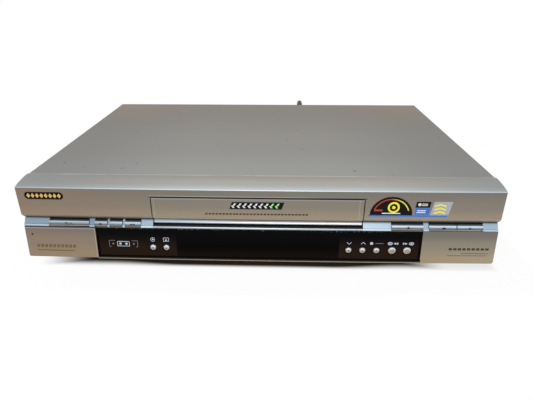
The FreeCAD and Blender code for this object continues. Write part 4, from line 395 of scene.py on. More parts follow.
lacquer = {
    # painted highlight on the crown, lighter and bluer toward its front edge and darker toward the seam, with painted
    # shade toward its two ends
    "crown": [(-0.1420, (0.53, 0.58, 0.605)), (-0.1330, (0.405, 0.395, 0.37)), (-0.1185, (0.325, 0.30, 0.255))],
    "crownEnd": (0.215, 0.235, 0.245),
    # a painted highlight along the seam between cover and fascia
    "seam": (0.62, 0.64, 0.64),
    # painted highlight along the crown's front edge, brightest near the middle
    "edgeLine": [(-0.21, (0.40, 0.47, 0.55)), (-0.08, (0.58, 0.64, 0.70)), (0.02, (0.74, 0.78, 0.82)),
                 (0.10, (0.64, 0.68, 0.73)), (0.20, (0.50, 0.57, 0.63))],
    # painted shading: the brow and the lower face grow darker or lighter with height
    "brow": [(0.0505, (0.420, 0.330, 0.235)), (0.0540, (0.263, 0.212, 0.147)), (0.0640, (0.190, 0.165, 0.131)),
             (0.0780, (0.150, 0.137, 0.115))],
    # painted shade on the chamfer under the brow
    "chamfer": (0.068, 0.074, 0.080),
    "lower": [(0.0120, (0.300, 0.225, 0.138)), (0.0280, (0.208, 0.182, 0.137)), (0.0380, (0.128, 0.118, 0.104))],
    "lowerToBrow": (0.0412, 0.0440),
    "rose": (0.235, 0.146, 0.100),  # the left end has a rosier cast
    "bright": (0.36, 0.31, 0.22),  # painted light: the right end is lighter low down
    "grain": (0.42, 0.38, 0.30),
    "cloud": (0.17, 0.15, 0.12),
    "satin": {"metal": 0.25, "rough": 0.38, "spread": 0.12, "shine": 0.22, "dents": (0.05, 0.0002),
              "Weight": 0.08, "Roughness": 0.15},
    # painted shade in the gaps, also the black of the plastic behind the outer skin
    "gap": (0.012, 0.014, 0.017),
    # painted highlight along the top edge of the door opening
    "lipLine": (0.34, 0.29, 0.22),
}


def pearlTone(finish):
    # the champagne of the brow and the lower face, with painted shading by height, painted light low down at the
    # right end, and a rosier cast at the left end
    brow = finish.steps(finish.z, lacquer["brow"])
    lower = finish.steps(finish.z, lacquer["lower"])
    right = finish.rise(finish.x, 0.12, 0.21) * finish.fall(finish.z, 0.012, 0.034)
    lower = finish.mix(right * 0.45, lower, lacquer["bright"])
    tone = finish.mix(finish.rise(finish.z, *lacquer["lowerToBrow"]), lower, brow)
    left = finish.fall(finish.x, -0.215, -0.04) * 0.5
    return finish.mix(left, tone, lacquer["rose"])


def pearlSurface(finish, tone, dark=None):
    grain = finish.noise(2400.0, 1.0)
    cloud = finish.noise(9.0)
    tone = finish.mix(grain * 0.10, tone, lacquer["grain"])
    tone = finish.mix(cloud * 0.10, tone, lacquer["cloud"])
    # painted shade where dark is given: in gaps and behind the outer skin
    if dark is not None:
        tone = finish.mix(dark, tone, lacquer["gap"])
    return finish.satin(tone, grain, **lacquer["satin"])


fascia = {
    "crownFrom": (0.0784, 0.0788),
    "rim": (-0.0006, 0.0009),  # depths of the painted highlight along the crown's front edge
    "rimFrom": (0.0782, 0.0786),
    "seamFrom": (-0.1181, -0.1176),
    "openingHalf": 0.0960,
    "openingLight": (0.0720, 0.0728),
    "openingGap": ((0.0711, 0.0712), (0.0720, 0.0722)),
    "chamfer": (0.0472, 0.0504),
    "windowHalf": 0.1492,
    "windowGap": (0.01070, 0.0130),
    "shelf": (0.0424, 0.0428),  # the brow is above, the lower face below
    "hollowTop": (0.0768, 0.0772),
    "lowerRight": (0.1495, 0.1500),
    "ends": (0.2144, 0.2147),
}


def fasciaDark(finish, depth, opening):
    # painted shade in the gaps round door and window, and over all that lies behind the outer skin
    low, high = fascia["openingGap"]
    lintel = opening * finish.fall(finish.z, *high) * finish.rise(finish.z, *low) * 0.95
    half = fascia["windowHalf"]
    sill = finish.band(finish.z, *fascia["windowGap"], 0.00010) * finish.band(finish.x, -half, half, 0.0003)
    above = finish.rise(finish.z, *fascia["shelf"])
    inset = finish.rise(depth, 0.0010, 0.0014) * finish.rise(finish.z, 0.0517, 0.0523)
    channel = finish.rise(depth, 0.0030, 0.0036)
    upper = finish.most(inset, channel) * above * finish.fall(finish.z, *fascia["hollowTop"])
    lower = finish.rise(lowerDepth(finish), 0.0007, 0.0011) * (1 - above) * finish.rise(finish.z, 0.0103, 0.0105)
    lower = lower * finish.fall(finish.x, *fascia["lowerRight"])
    inside = finish.fall(abs(finish.x), *fascia["ends"])
    return finish.most((upper + lower) * inside, sill, lintel)


def fasciaLacquer():
    finish = Finish("fasciaLacquer")
    depth = browDepth(finish)
    # painted highlight on the crown, and painted shade toward its two ends
    crown = finish.steps(bowed(finish), lacquer["crown"])
    crown = finish.mix(finish.rise(abs(finish.x - 0.02), 0.05, 0.23) * 0.75, crown, lacquer["crownEnd"])
    top = finish.rise(finish.z, *fascia["crownFrom"])
    tone = finish.mix(top, pearlTone(finish), crown)
    # painted highlight along the crown's front edge
    rim = finish.band(depth, *fascia["rim"], 0.0002) * finish.rise(finish.z, *fascia["rimFrom"])
    tone = finish.mix(rim, tone, finish.steps(finish.x, lacquer["edgeLine"]))
    # a broken painted highlight along the seam
    broken = finish.rise(finish.noise(40.0, 2.0, (1.0, 0.1, 0.1)), 0.40, 0.62)
    seam = finish.rise(finish.y, *fascia["seamFrom"]) * (1 - finish.rise(finish.x, 0.08, 0.20) * 0.6) * top
    tone = finish.mix(seam * (broken * 0.45 + 0.15), tone, lacquer["seam"])
    opening = finish.band(finish.x, -fascia["openingHalf"], fascia["openingHalf"], 0.0006)
    # painted highlight along the top edge of the door opening
    light = opening * finish.fall(finish.x, 0.02, 0.07) * finish.band(finish.z, *fascia["openingLight"], 0.0001)
    tone = finish.mix(light, tone, lacquer["lipLine"])
    # painted shade on the chamfer under the brow
    under = finish.band(finish.z, *fascia["chamfer"], 0.0003) * finish.rise(depth, 0.0002, 0.0008)
    tone = finish.mix(under, tone, lacquer["chamfer"])
    return pearlSurface(finish, tone, fasciaDark(finish, depth, opening))


door = {
    # the light silver nose with a painted highlight, and painted shade on the chamfer above it
    "nose": [(0.0442, (0.62, 0.64, 0.67)), (0.0446, (0.80, 0.82, 0.85)), (0.0451, (0.90, 0.92, 0.94)),
             (0.0463, (0.95, 0.96, 0.97)), (0.0470, (0.26, 0.25, 0.23)), (0.0478, (0.10, 0.097, 0.093)),
             (0.0488, (0.11, 0.105, 0.10)), (0.0498, (0.26, 0.23, 0.19)), (0.0505, (0.54, 0.43, 0.30))],
    "noseShade": (0.33, 0.43, 0.56),
    "noseShadeTop": (0.0474, 0.0478),
    "faceFrom": (0.0507, 0.0524),
    "sideLines": ((-0.09200, -0.09165), (0.0900, 0.09035)),
    "sideLine": (0.46, 0.46, 0.46),
    # a painted highlight along the door's upper edge
    "sheenFrom": (0.0690, 0.0698),
    "sheen": (0.25, 0.255, 0.27),
    # painted shade at the door's edges and behind its face
    "edge": (0.0003, 0.0006),
    "edgeFrom": (0.0525, 0.0530),
    "inside": (0.0042, 0.0050),
}


def doorLacquer():
    finish = Finish("doorLacquer")
    # painted highlight on the nose and painted shade on the chamfer above it, more shade toward the left
    nose = finish.steps(finish.z, door["nose"])
    left = finish.fall(finish.x, -0.09, 0.01) * finish.fall(finish.z, *door["noseShadeTop"])
    nose = finish.mix(left * 0.78, nose, door["noseShade"])
    tone = finish.mix(finish.rise(finish.z, *door["faceFrom"]), nose, pearlTone(finish))
    first, last = door["sideLines"]
    line = finish.band(finish.x, *first, 0.0001) + finish.band(finish.x, *last, 0.0001)
    tone = finish.mix(line * 0.5, tone, door["sideLine"])
    # painted highlight along the upper edge
    tone = finish.mix(finish.rise(finish.z, *door["sheenFrom"]) * 0.8, tone, door["sheen"])
    # painted shade at the edges and behind the face
    depth = browDepth(finish)
    edges = finish.rise(depth, *door["edge"]) * finish.rise(finish.z, *door["edgeFrom"])
    return pearlSurface(finish, tone, finish.most(edges, finish.rise(depth, *door["inside"])))


flap = {
    # a painted highlight along the flap's top edge, and one down its right end
    "line": (0.250, 0.268, 0.300),
    "lineAt": (0.0387, 0.0396),
    "edge": (0.55, 0.48, 0.38),
    "edgeFrom": (-0.1500, -0.1494),
    # painted shade on the bevel along the top
    "bevel": (0.022, 0.024, 0.027),
    "bevelFrom": (0.0396, 0.0398),
    "top": (0.100, 0.075, 0.065),
    "topFrom": (0.04033, 0.04038),
    "back": (0.110, 0.098, 0.080),
    "backFrom": (0.0020, 0.0024),
    # painted shade at the edges and along the foot
    "rim": (0.0009, 0.0013),
    "foot": (0.0104, 0.0107),
}


def flapLacquer():
    finish = Finish("flapLacquer")
    # painted highlight along the top edge and down the right end
    tone = finish.mix(finish.band(finish.z, *flap["lineAt"], 0.0002), pearlTone(finish), flap["line"])
    tone = finish.mix(finish.rise(finish.x, *flap["edgeFrom"]) * 0.6, tone, flap["edge"])
    # painted shade on the bevel along the top
    tone = finish.mix(finish.rise(finish.z, *flap["bevelFrom"]), tone, flap["bevel"])
    tone = finish.mix(finish.rise(finish.z, *flap["topFrom"]), tone, flap["top"])
    depth = lowerDepth(finish)
    back = finish.rise(depth, *flap["backFrom"])
    tone = finish.mix(back, tone, flap["back"])
    # painted shade along the foot and round the edges
    foot = finish.fall(finish.z, *flap["foot"]) * 0.8
    return pearlSurface(finish, tone, finish.most(finish.rise(depth, *flap["rim"]) - back, foot))


cover = {
    # painted light: lighter at the front, darker and warmer toward the back
    "tones": [(-0.1167, (0.325, 0.325, 0.317)), (-0.04, (0.275, 0.267, 0.248)), (0.10, (0.222, 0.200, 0.172))],
    # painted shade toward the two sides and on them
    "side": (0.165, 0.165, 0.160),
    "sideFrom": (0.06, 0.21),
    "corner": (0.275, 0.205, 0.145),  # the two rear corners are warmer
    "cornerFrom": (0.02, 0.14),
    "topFrom": (0.0775, 0.0795),
    "grain": (0.38, 0.37, 0.34),
    "cloud": (0.20, 0.185, 0.16),
    "speck": (0.06, 0.055, 0.05),
    "seamFrom": (-0.1166, -0.1163),
    "satin": {"metal": 0.15, "rough": 0.50, "spread": 0.12, "shine": 0.3, "dents": (0.12, 0.0003)},
}


def coverPaint():
    finish = Finish("coverPaint")
    grain = finish.noise(1800.0, 3.0)
    cloud = finish.noise(5.0, 3.0)
    dirt = finish.rise(finish.noise(150.0, 1.0), 0.75, 0.79)
    scratch = finish.rise(finish.noise(60.0, 2.0, (0.35, 1.6, 1.0)), 0.74, 0.80)
    # painted light: lighter at the front, darker and warmer toward the back
    tone = finish.steps(finish.y, cover["tones"])
    # painted shade toward the two sides and on them
    aside = finish.rise(abs(finish.x), *cover["sideFrom"])
    tone = finish.mix(aside * 0.62, tone, cover["side"])
    rear = finish.rise(finish.y, *cover["cornerFrom"]) * finish.rise(finish.z, *cover["topFrom"])
    tone = finish.mix(aside * rear * 0.8, tone, cover["corner"])
    tone = finish.mix(grain * 0.16, tone, cover["grain"])
    tone = finish.mix(cloud * 0.16, tone, cover["cloud"])
    tone = finish.mix(dirt * 0.55 + scratch * 0.25, tone, cover["speck"])
    # a faint painted highlight along the cover's front lip, at the seam
    lip = finish.fall(finish.y, *cover["seamFrom"])
    tone = finish.mix(lip * 0.2, tone, lacquer["seam"])
    return finish.satin(tone, grain, **cover["satin"])


trim = {
    # painted light along the strip: lighter toward the middle, darker toward the ends
    "web": [(-0.20, (0.203, 0.279, 0.347)), (-0.15, (0.183, 0.248, 0.312)), (-0.10, (0.279, 0.364, 0.450)),
            (0.10, (0.405, 0.525, 0.640)), (0.15, (0.295, 0.400, 0.495)), (0.205, (0.285, 0.385, 0.480))],
    # a painted highlight along the lower lip, brightest at the middle
    "lip": [(-0.20, (0.39, 0.50, 0.61)), (-0.15, (0.31, 0.40, 0.48)), (-0.10, (0.56, 0.67, 0.76)),
            (0.0, (0.88, 0.94, 0.96)), (0.10, (0.55, 0.66, 0.75)), (0.15, (0.46, 0.57, 0.66)),
            (0.205, (0.41, 0.52, 0.63))],
    # painted shade along the top, under the brow
    "top": (0.16, 0.20, 0.24),
    "topFrom": (0.0462, 0.0474),
    "grain": (0.45, 0.54, 0.61),
    "openingHalf": 0.0950,
    # painted shade on the lip's lower face
    "face": (0.12, 0.12, 0.13),
    "faceTop": (0.0418, 0.0422),
    "faceFoot": (0.0409, 0.0412),
    # painted shade under the door, in its opening
    "sill": (0.040, 0.045, 0.052),
    "sillFrom": (0.04240, 0.04255),
    "shelfFrom": (0.04262, 0.04268),
    "ledge": (0.43, 0.40, 0.36),  # the strip that shows under the buttons
    "ledgeFrom": (-0.1441, -0.1437),
    "ledgeTo": (-0.1404, -0.1396),
    "ledgeTop": (0.04165, 0.0418),
    "ledgeAside": (0.1005, 0.1010),
    # painted shade behind the strip and below its lip
    "gap": (0.024, 0.029, 0.036),
    "gapLeft": (0.038, 0.045, 0.054),
    "behind": (0.0008, 0.0013),
    "satin": {"metal": 0.2, "rough": 0.32, "spread": 0.1, "shine": 0.3, "dents": (0.04, 0.0002)},
}


def trimLacquer():
    finish = Finish("trimLacquer")
    grain = finish.noise(3000.0, 1.0, (0.25, 1.0, 1.0))
    # painted light along the strip
    tone = finish.steps(finish.x, trim["web"])
    # painted shade along the top, under the brow
    tone = finish.mix(finish.rise(finish.z, *trim["topFrom"]), tone, trim["top"])
    tone = finish.mix(grain * 0.10, tone, trim["grain"])
    opening = finish.band(finish.x, -trim["openingHalf"], trim["openingHalf"], 0.0003)
    # painted shade under the door, in its opening
    sill = finish.rise(finish.z, *trim["sillFrom"])
    tone = finish.mix(opening * sill, tone, trim["sill"])
    # painted highlight along the lip
    lip = finish.steps(finish.x, trim["lip"])
    # painted shade on the lip's lower face
    lip = finish.mix(finish.fall(finish.z, *trim["faceTop"]) * (opening * 0.5 + 0.08), lip, trim["face"])
    shelf = finish.mix(opening, finish.rise(finish.z, *trim["shelfFrom"]), sill)
    tone = finish.mix(1 - shelf, tone, lip)
    # painted shade behind the strip and below its lip
    behind = finish.rise(trimDepth(finish), *trim["behind"])
    dark = finish.most(behind, finish.fall(finish.z, *trim["faceFoot"]))
    gap = finish.mix(finish.rise(finish.x, -0.060, 0.0), trim["gapLeft"], trim["gap"])
    tone = finish.mix(dark, tone, gap)
    ledge = finish.rise(bowed(finish), *trim["ledgeFrom"]) * finish.fall(finish.y, *trim["ledgeTo"])
    ledge = ledge * finish.fall(finish.z, *trim["ledgeTop"]) * finish.rise(abs(finish.x), *trim["ledgeAside"])
    tone = finish.mix(ledge, tone, trim["ledge"])
    return finish.satin(tone, grain, **trim["satin"])


buttons = {
    # painted shading of a half-round bar, by height
    "tones": [(0.0418, (0.36, 0.32, 0.30)), (0.0425, (0.30, 0.31, 0.33)), (0.0432, (0.195, 0.250, 0.320)),
              (0.0441, (0.24, 0.34, 0.44)), (0.0449, (0.41, 0.53, 0.63)), (0.0454, (0.42, 0.51, 0.59)),
              (0.0459, (0.11, 0.115, 0.125)), (0.0463, (0.072, 0.082, 0.092))],
    "leftShade": (0.15, 0.20, 0.26),
    "leftShadeAt": (0.0438, 0.0451),
    "leftEnds": (-0.150, -0.120),
    "rightLight": (0.70, 0.85, 1.0),
    "rightLightAt": (0.0443, 0.0455),
    # painted light on the dark tops at the right
    "rightTop": (0.100, 0.125, 0.155),
    "rightTopFrom": (0.0457, 0.0461),
    "rightFrom": (0.100, 0.120),
    "grain": (0.46, 0.50, 0.54),
    "stem": (0.03, 0.03, 0.032),
    "stemFrom": (-0.1400, -0.1395),
    "satin": {"metal": 0.25, "rough": 0.28, "spread": 0.1, "shine": 0.35, "dents": (0.03, 0.0002), "Weight": 0.1},
}


def buttonLacquer():
    # painted shading of a half-round bar: dark above, a painted highlight below that, then the darker belly
    finish = Finish("buttonLacquer")
    grain = finish.noise(2600.0, 1.0)
    tone = finish.steps(finish.z, buttons["tones"])
    left = finish.band(finish.z, *buttons["leftShadeAt"], 0.0003) * finish.fall(finish.x, *buttons["leftEnds"])
    tone = finish.mix(left * 0.55, tone, buttons["leftShade"])
    right = finish.rise(finish.x, *buttons["rightFrom"])
    light = right * finish.band(finish.z, *buttons["rightLightAt"], 0.0002)
    tone = finish.mix(light * 0.3, tone, buttons["rightLight"])
    # painted light on the dark tops at the right
    tone = finish.mix(right * finish.rise(finish.z, *buttons["rightTopFrom"]) * 0.5, tone, buttons["rightTop"])
    tone = finish.mix(grain * 0.10, tone, buttons["grain"])
    tone = finish.mix(finish.rise(bowed(finish), *buttons["stemFrom"]), tone, buttons["stem"])
    return finish.satin(tone, grain, **buttons["satin"])


keys = {
    "places": {
        "refresh_key": (-0.0964, 0.0027),
        "picture_key": (-0.0840, 0.0027),
        "channel_down_key": (0.0832, 0.0027),
        "channel_up_key": (0.0958, 0.0027),
        "record_key": (0.1085, 0.0027),
        "review_key": (0.1226, 0.0034),
        "cue_key": (0.1362, 0.0034),
    },
    "height": 0.0217,
    "large": 0.003,  # keys with a wider radius than this are flat in the middle
    # painted shading: lighter and bluer above, beige below
    "low": (0.44, 0.36, 0.25),
    "middle": (0.17, 0.155, 0.145),
    "high": (0.55, 0.62, 0.70),
    "flat": (0.30, 0.255, 0.18),
    # a painted shadow round the edge
    "rim": (0.10, 0.085, 0.07),
    "grain": (0.50, 0.50, 0.50),
    "satin": {"metal": 0.2, "rough": 0.3, "spread": 0.1, "shine": 0.3},
}


def keyLacquer(name):
    # painted shading: light above and beige below; small keys have a dark dimple, large ones a flat middle; a painted
    # shadow round the edge
    finish = Finish(name + "Lacquer")
    place, radius = keys["places"][name]
    away = finish.away(place, keys["height"]) / radius
    up = (finish.z - keys["height"]) / radius
    tone = finish.mix(finish.rise(up, 0.1, 0.45), keys["low"], keys["high"])
    if radius > keys["large"]:
        tone = finish.mix(finish.fall(away, 0.62, 0.74), tone, keys["flat"])
    else:
        tone = finish.mix(finish.fall(away, 0.30, 0.50), tone, keys["middle"])
    # a painted shadow round the edge
    tone = finish.mix(finish.rise(away, 0.93, 1.0) * 0.5, tone, keys["rim"])
    grain = finish.noise(2600.0, 1.0)
    return finish.satin(finish.mix(grain * 0.1, tone, keys["grain"]), grain, **keys["satin"])


window = {
    "middleHalf": 0.0744,
    "ends": (0.0155, 0.0088, 0.0052),
    "middleLow": (0.0062, 0.0040, 0.0028),
    "middleHigh": (0.0012, 0.0012, 0.0014),
    "middleFade": (0.0130, 0.0250),
    "top": (0.0024, 0.0024, 0.0028),
    "topFade": (0.0190, 0.0370),
    "rim": (0.0012, 0.0012, 0.0013),
    "rimHalf": 0.1462,
    "rimFoot": (0.0132, 0.0142),
    "dust": (0.10, 0.115, 0.14),
    "dustFrom": (0.0386, 0.0402),
    "upperEdge": (0.16, 0.135, 0.105),
    "upperEdgeFrom": (0.04048, 0.04053),
}


def smokedWindow():
    finish = Finish("smokedWindow")
    middle = finish.band(finish.x, -window["middleHalf"], window["middleHalf"], 0.0002)
    centre = finish.mix(finish.rise(finish.z, *window["middleFade"]), window["middleLow"], window["middleHigh"])
    tone = finish.mix(middle, window["ends"], centre)
    tone = finish.mix(finish.rise(finish.z, *window["topFade"]), tone, window["top"])
    inner = finish.band(finish.x, -window["rimHalf"], window["rimHalf"], 0.0004)
    tone = finish.mix(inner * finish.rise(finish.z, *window["rimFoot"]), window["rim"], tone)
    dust = finish.rise(finish.noise(650.0, 1.0), 0.58, 0.72) * finish.rise(finish.z, *window["dustFrom"])
    tone = finish.mix(dust * finish.band(finish.x, -0.135, 0.118, 0.02) * 0.8, tone, window["dust"])
    tone = finish.mix(finish.rise(finish.z, *window["upperEdgeFrom"]), tone, window["upperEdge"])
    smear = finish.noise(26.0, 3.0, (0.5, 1.0, 1.6))
    return finish.surface({
        "Base Color": tone,
        "Roughness": 0.20 - middle * 0.08 + smear * 0.06,
        "Specular IOR Level": 0.02,
    })


# Finishes of everything behind and inside


def zincSteel(name, colour, rough=0.42):
    finish = Finish(name)
    spangle = finish.add("TexVoronoi", {}, {"Vector": finish.place, "Scale": 160.0}, "Color")
    bright = finish.add("SeparateColor", {}, {0: spangle}, 0)
    grain = finish.noise(900.0, 2.0, (1.0, 0.08, 1.0))
    tone = finish.mix(bright * 0.25, colour, (colour[0] * 0.7, colour[1] * 0.72, colour[2] * 0.75))
    return finish.surface({
        "Base Color": tone,
        "Metallic": 0.85,
        "Roughness": rough + grain * 0.12 - bright * 0.06,
        "Normal": finish.bump(grain, 0.05, 0.0002),
    })


def mouldedPlastic(name, colour, rough=0.5, lift=0.04):
    finish = Finish(name)
    grain = finish.noise(1600.0, 2.0)
    cloud = finish.noise(40.0, 2.0)
    lighter = tuple(each + lift for each in colour)
    tone = finish.mix(grain * 0.5 + cloud * 0.3, colour, lighter)
    return finish.surface({
        "Base Color": tone,
        "Roughness": rough + cloud * 0.14,
        "Specular IOR Level": 0.3,
        "Normal": finish.bump(grain, 0.1, 0.0002),
    })


sockets = {
    "yellow": (0.62, 0.42, 0.02),
    "white": (0.62, 0.60, 0.55),
    "red": (0.42, 0.02, 0.015),
    "block": (0.018, 0.018, 0.019),
}


def socketPlastic(name, between, outside):
    # the sleeves are yellow, white and red by their place across; outside is the sign of the way out
    finish = Finish(name)
    cloud = finish.noise(60.0, 2.0)
    tone = sockets["yellow"]
    for place, colour in zip(between, ("white", "red")):
        tone = finish.mix(finish.rise(finish.x, place - 0.001, place + 0.001), tone, sockets[colour])
    reach = (finish.y - outside[0]) * outside[1]
    tone = finish.mix(finish.rise(reach, 0.0, 0.0006), sockets["block"], tone)
    tone = finish.mix(cloud * 0.12, tone, (0.10, 0.10, 0.10))
    return finish.surface({"Base Color": tone, "Roughness": 0.36 + cloud * 0.14})


def boardLaminate():
    finish = Finish("boardLaminate")
    tracks = finish.add("TexBrick", {"offset": 0.5}, {
        "Vector": finish.place,
        "Color1": (0.29, 0.22, 0.10),
        "Color2": (0.25, 0.19, 0.085),
        "Mortar": (0.36, 0.29, 0.15),
        "Scale": 90.0,
        "Mortar Size": 0.03,
    })
    fibre = finish.noise(700.0, 2.0)
    tone = finish.mix(fibre * 0.3, tracks, (0.20, 0.15, 0.07))
    return finish.surface({"Base Color": tone, "Roughness": 0.5 + fibre * 0.2})


def displayGlass():
    finish = Finish("displayGlass")
    mesh = finish.add("TexWave", {"bands_direction": "X"}, {"Vector": finish.place, "Scale": 500.0})
    tone = finish.mix(mesh, (0.03, 0.045, 0.045), (0.05, 0.07, 0.07))
    return finish.surface({"Base Color": tone, "Roughness": 0.06 + mesh * 0.02, "Coat Weight": 0.4})


def turnedMetal(name, colour, rough):
    finish = Finish(name)
    ringed = finish.noise(500.0, 2.0, (1.0, 1.0, 14.0))
    tone = finish.mix(ringed * 0.3, colour, (colour[0] * 0.8, colour[1] * 0.8, colour[2] * 0.8))
    return finish.satin(tone, ringed, 1.0, rough, 0.12, 0.5, (0.04, 0.0001))


def laminations():
    finish = Finish("coreLaminations")
    layers = finish.add("TexWave", {"bands_direction": "Z"}, {"Vector": finish.place, "Scale": 320.0})
    rust = finish.noise(120.0, 3.0)
    tone = finish.mix(layers * 0.5, (0.16, 0.15, 0.14), (0.09, 0.08, 0.075))
    tone = finish.mix(rust * 0.3, tone, (0.18, 0.11, 0.07))
    return finish.surface({
        "Base Color": tone,
        "Metallic": 0.5,
        "Roughness": 0.55 + rust * 0.2,
        "Normal": finish.bump(layers, 0.2, 0.0002),
    })


def dress(name, material):
    for slot in nodes[name].material_slots:
        slot.material = material


def paintNodes():
    finishes = {
        "cover_steel": coverPaint(),
        "bare_steel": zincSteel("zincSteel", (0.56, 0.57, 0.58)),
        "front_plastic": fasciaLacquer(),
        "trim_plastic": trimLacquer(),
        "window_plastic": smokedWindow(),
        "button_plastic": buttonLacquer(),
        "black_plastic": mouldedPlastic("blackPlastic", (0.018, 0.018, 0.019)),
        "rubber_black": mouldedPlastic("softBlack", (0.015, 0.015, 0.015), 0.6, 0.02),
        "board": boardLaminate(),
        "display_glass": displayGlass(),
        "white_plastic": mouldedPlastic("whitePlastic", (0.62, 0.60, 0.54), 0.42),
        "head_metal": turnedMetal("turnedAluminium", (0.62, 0.63, 0.64), 0.22),
        "core_steel": laminations(),
        "tinned_steel": zincSteel("tinnedSteel", (0.60, 0.60, 0.58), 0.36),
        "plug_brass": turnedMetal("pinMetal", (0.62, 0.58, 0.48), 0.25),
    }
    for row in frame["record"]["subparts"]:
        dress(row["node"], finishes[row["material_slot"]])
    dress("cassette_door", doorLacquer())
    dress("socket_flap", flapLacquer())
    dress("rear_sockets", socketPlastic("rearSocketPlastic", (-0.114, -0.098), (0.1404, 1)))
    dress("front_sockets", socketPlastic("frontSocketPlastic", (-0.190, -0.174), (-0.1350, -1)))
    for name in keys["places"]:
        dress(name, keyLacquer(name))


# Printed marks: flat shapes facing the front, laid on the surface behind them

print3d = {
    "ahead": -0.165,
    "film": 0.00005,
    "segments": 32,
}


def bar(x, z, wide, tall, lean=0.0):
    # lean moves the upper edge to the right
    bpy.ops.mesh.primitive_plane_add(size=1, location=(x, print3d["ahead"], z), rotation=(math.pi / 2, 0, 0))
    piece = named("bar")
    piece.scale = (wide, tall, 1)
    settled(piece)
    if lean:
        editing(piece, lambda point: point.z > z)
        bpy.ops.transform.translate(value=(lean, 0, 0))
        edited(piece)
    return piece


def facing(name, x, z, radius, corners, angle=0):
    # a filled polygon facing the front, turned by angle about the way it faces
    bpy.ops.mesh.primitive_circle_add(vertices=corners, radius=radius, fill_type="NGON",
                                      location=(x, print3d["ahead"], z),
                                      rotation=(math.pi / 2, math.radians(angle), 0))
    return named(name)


def disc(x, z, radius, squash=1.0):
    piece = facing("disc", x, z, radius, print3d["segments"])
    piece.scale = (1, squash, 1)
    return settled(piece)


def ring(x, z, radius, width, squash=1.0):
    piece = disc(x, z, radius, squash)
    editing(piece)
    bpy.ops.mesh.inset(thickness=width)
    bpy.ops.mesh.delete(type="FACE")
    return edited(piece)


def arrow(x, z, radius, angle):
    # points up at 0, right at 90 and left at -90
    return settled(facing("arrow", x, z, radius, 3, angle))


def divided(piece, cuts):
    editing(piece)
    bpy.ops.mesh.subdivide(number_cuts=cuts)
    return edited(piece)


def chevron(x, z, wide, thick, lift):
    # a bar whose middle is lifted
    piece = divided(bar(x, z, wide, thick), 1)
    editing(piece, lambda point: abs(point.x - x) < wide / 8)
    bpy.ops.transform.translate(value=(0, 0, lift))
    return edited(piece)


def row(first, step, count):
    return [first + place * step for place in range(count)]


def box(x, z, wide, tall, line):
    # the outline of a rectangle
    across, up = (wide - line) / 2, (tall - line) / 2
    return [bar(x, z + up, wide, line), bar(x, z - up, wide, line),
            bar(x - across, z, line, tall), bar(x + across, z, line, tall)]


def printed(name, pieces, shade, node="front_fascia", body="case", cuts=0, layer=1):
    piece = joined(name, pieces)
    if cuts:
        divided(piece, cuts)
    modified(piece, "SHRINKWRAP", target=nodes[node], wrap_method="PROJECT", use_project_y=True,
             use_positive_direction=True, use_negative_direction=False)
    modified(piece, "SOLIDIFY", thickness=print3d["film"] * layer, offset=1)
    painted(piece, shade)
    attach(piece, body)
    return piece


def ink(name, colour, other=None):
    # print, a little uneven; other is the colour that it shades into toward the right, and from where to where
    finish = Finish(name + "Ink")
    patch = finish.noise(1400.0, 2.0)
    tone = inks[colour]
    if other:
        tone = finish.mix(finish.rise(finish.x, *other[1:]), tone, inks[other[0]])
    tone = finish.mix(patch * 0.25, tone, tuple(each * 0.8 for each in inks[colour]))
    return finish.surface({"Base Color": tone, "Roughness": 0.42 + patch * 0.16, "Specular IOR Level": 0.06})


inks = {
    "black": (0.006, 0.006, 0.008),
    "gold": (0.62, 0.40, 0.10),
    "bronze": (0.150, 0.105, 0.040),
    "brown": (0.055, 0.042, 0.034),
    "softBrown": (0.13, 0.105, 0.08),
    "pale": (0.46, 0.52, 0.62),
    "dim": (0.16, 0.17, 0.19),
    "yellow": (0.78, 0.70, 0.05),
    "red": (0.42, 0.05, 0.02),
    "grey": (0.36, 0.36, 0.39),
    "blue": (0.02, 0.16, 0.56),
    "white": (0.66, 0.66, 0.64),
    "mint": (0.30, 0.72, 0.22),
}


buttonMarks = {
    "z": 0.0432,
    "line": 0.0005,
}


def addButtonMarks():
    dark = ink("button", "black")
    line, z = buttonMarks["line"], buttonMarks["z"]
    symbols = {
        "power_button": [ring(-0.1752, z, 0.0014, line), bar(-0.1752, z + 0.0009, line, 0.0013),
                         bar(-0.1724, z, line, 0.0027, 0.0009), bar(-0.1702, z, line, 0.0026)],
        "timer_button": [ring(-0.1436, z, 0.0014, line), bar(-0.1436, z + 0.0005, line, 0.0010),
                         bar(-0.1432, z, 0.0009, line)],
        "rewind_button": [arrow(-0.1152, z, 0.0016, -90), arrow(-0.1128, z, 0.0016, -90)],
        "eject_button": [arrow(0.1354, z + 0.0002, 0.0018, 0), bar(0.1354, z - 0.0012, 0.0031, 0.0005)],
        "stop_button": [bar(0.1669, z, 0.0027, 0.0024)],
        "play_button": [arrow(0.1899, z, 0.0016, 90)],
    }
    for body, pieces in symbols.items():
        printed(body + "_mark", pieces, dark, body, body, cuts=3)


windowMarks = {
    "rightZ": 0.0288,
    "leftZ": 0.0297,
    "line": 0.00040,
    "reelAt": -0.0962,
    "pictureAt": -0.0839,
    "cassetteAt": (-0.1239, 0.0249),
    "cassetteSize": (0.0116, 0.0050),
    "tapeReels": (0.1203, 0.1396),
    "tapeArrows": ((0.1249, -90), (0.1269, -90), (0.1325, 90), (0.1345, 90)),
}


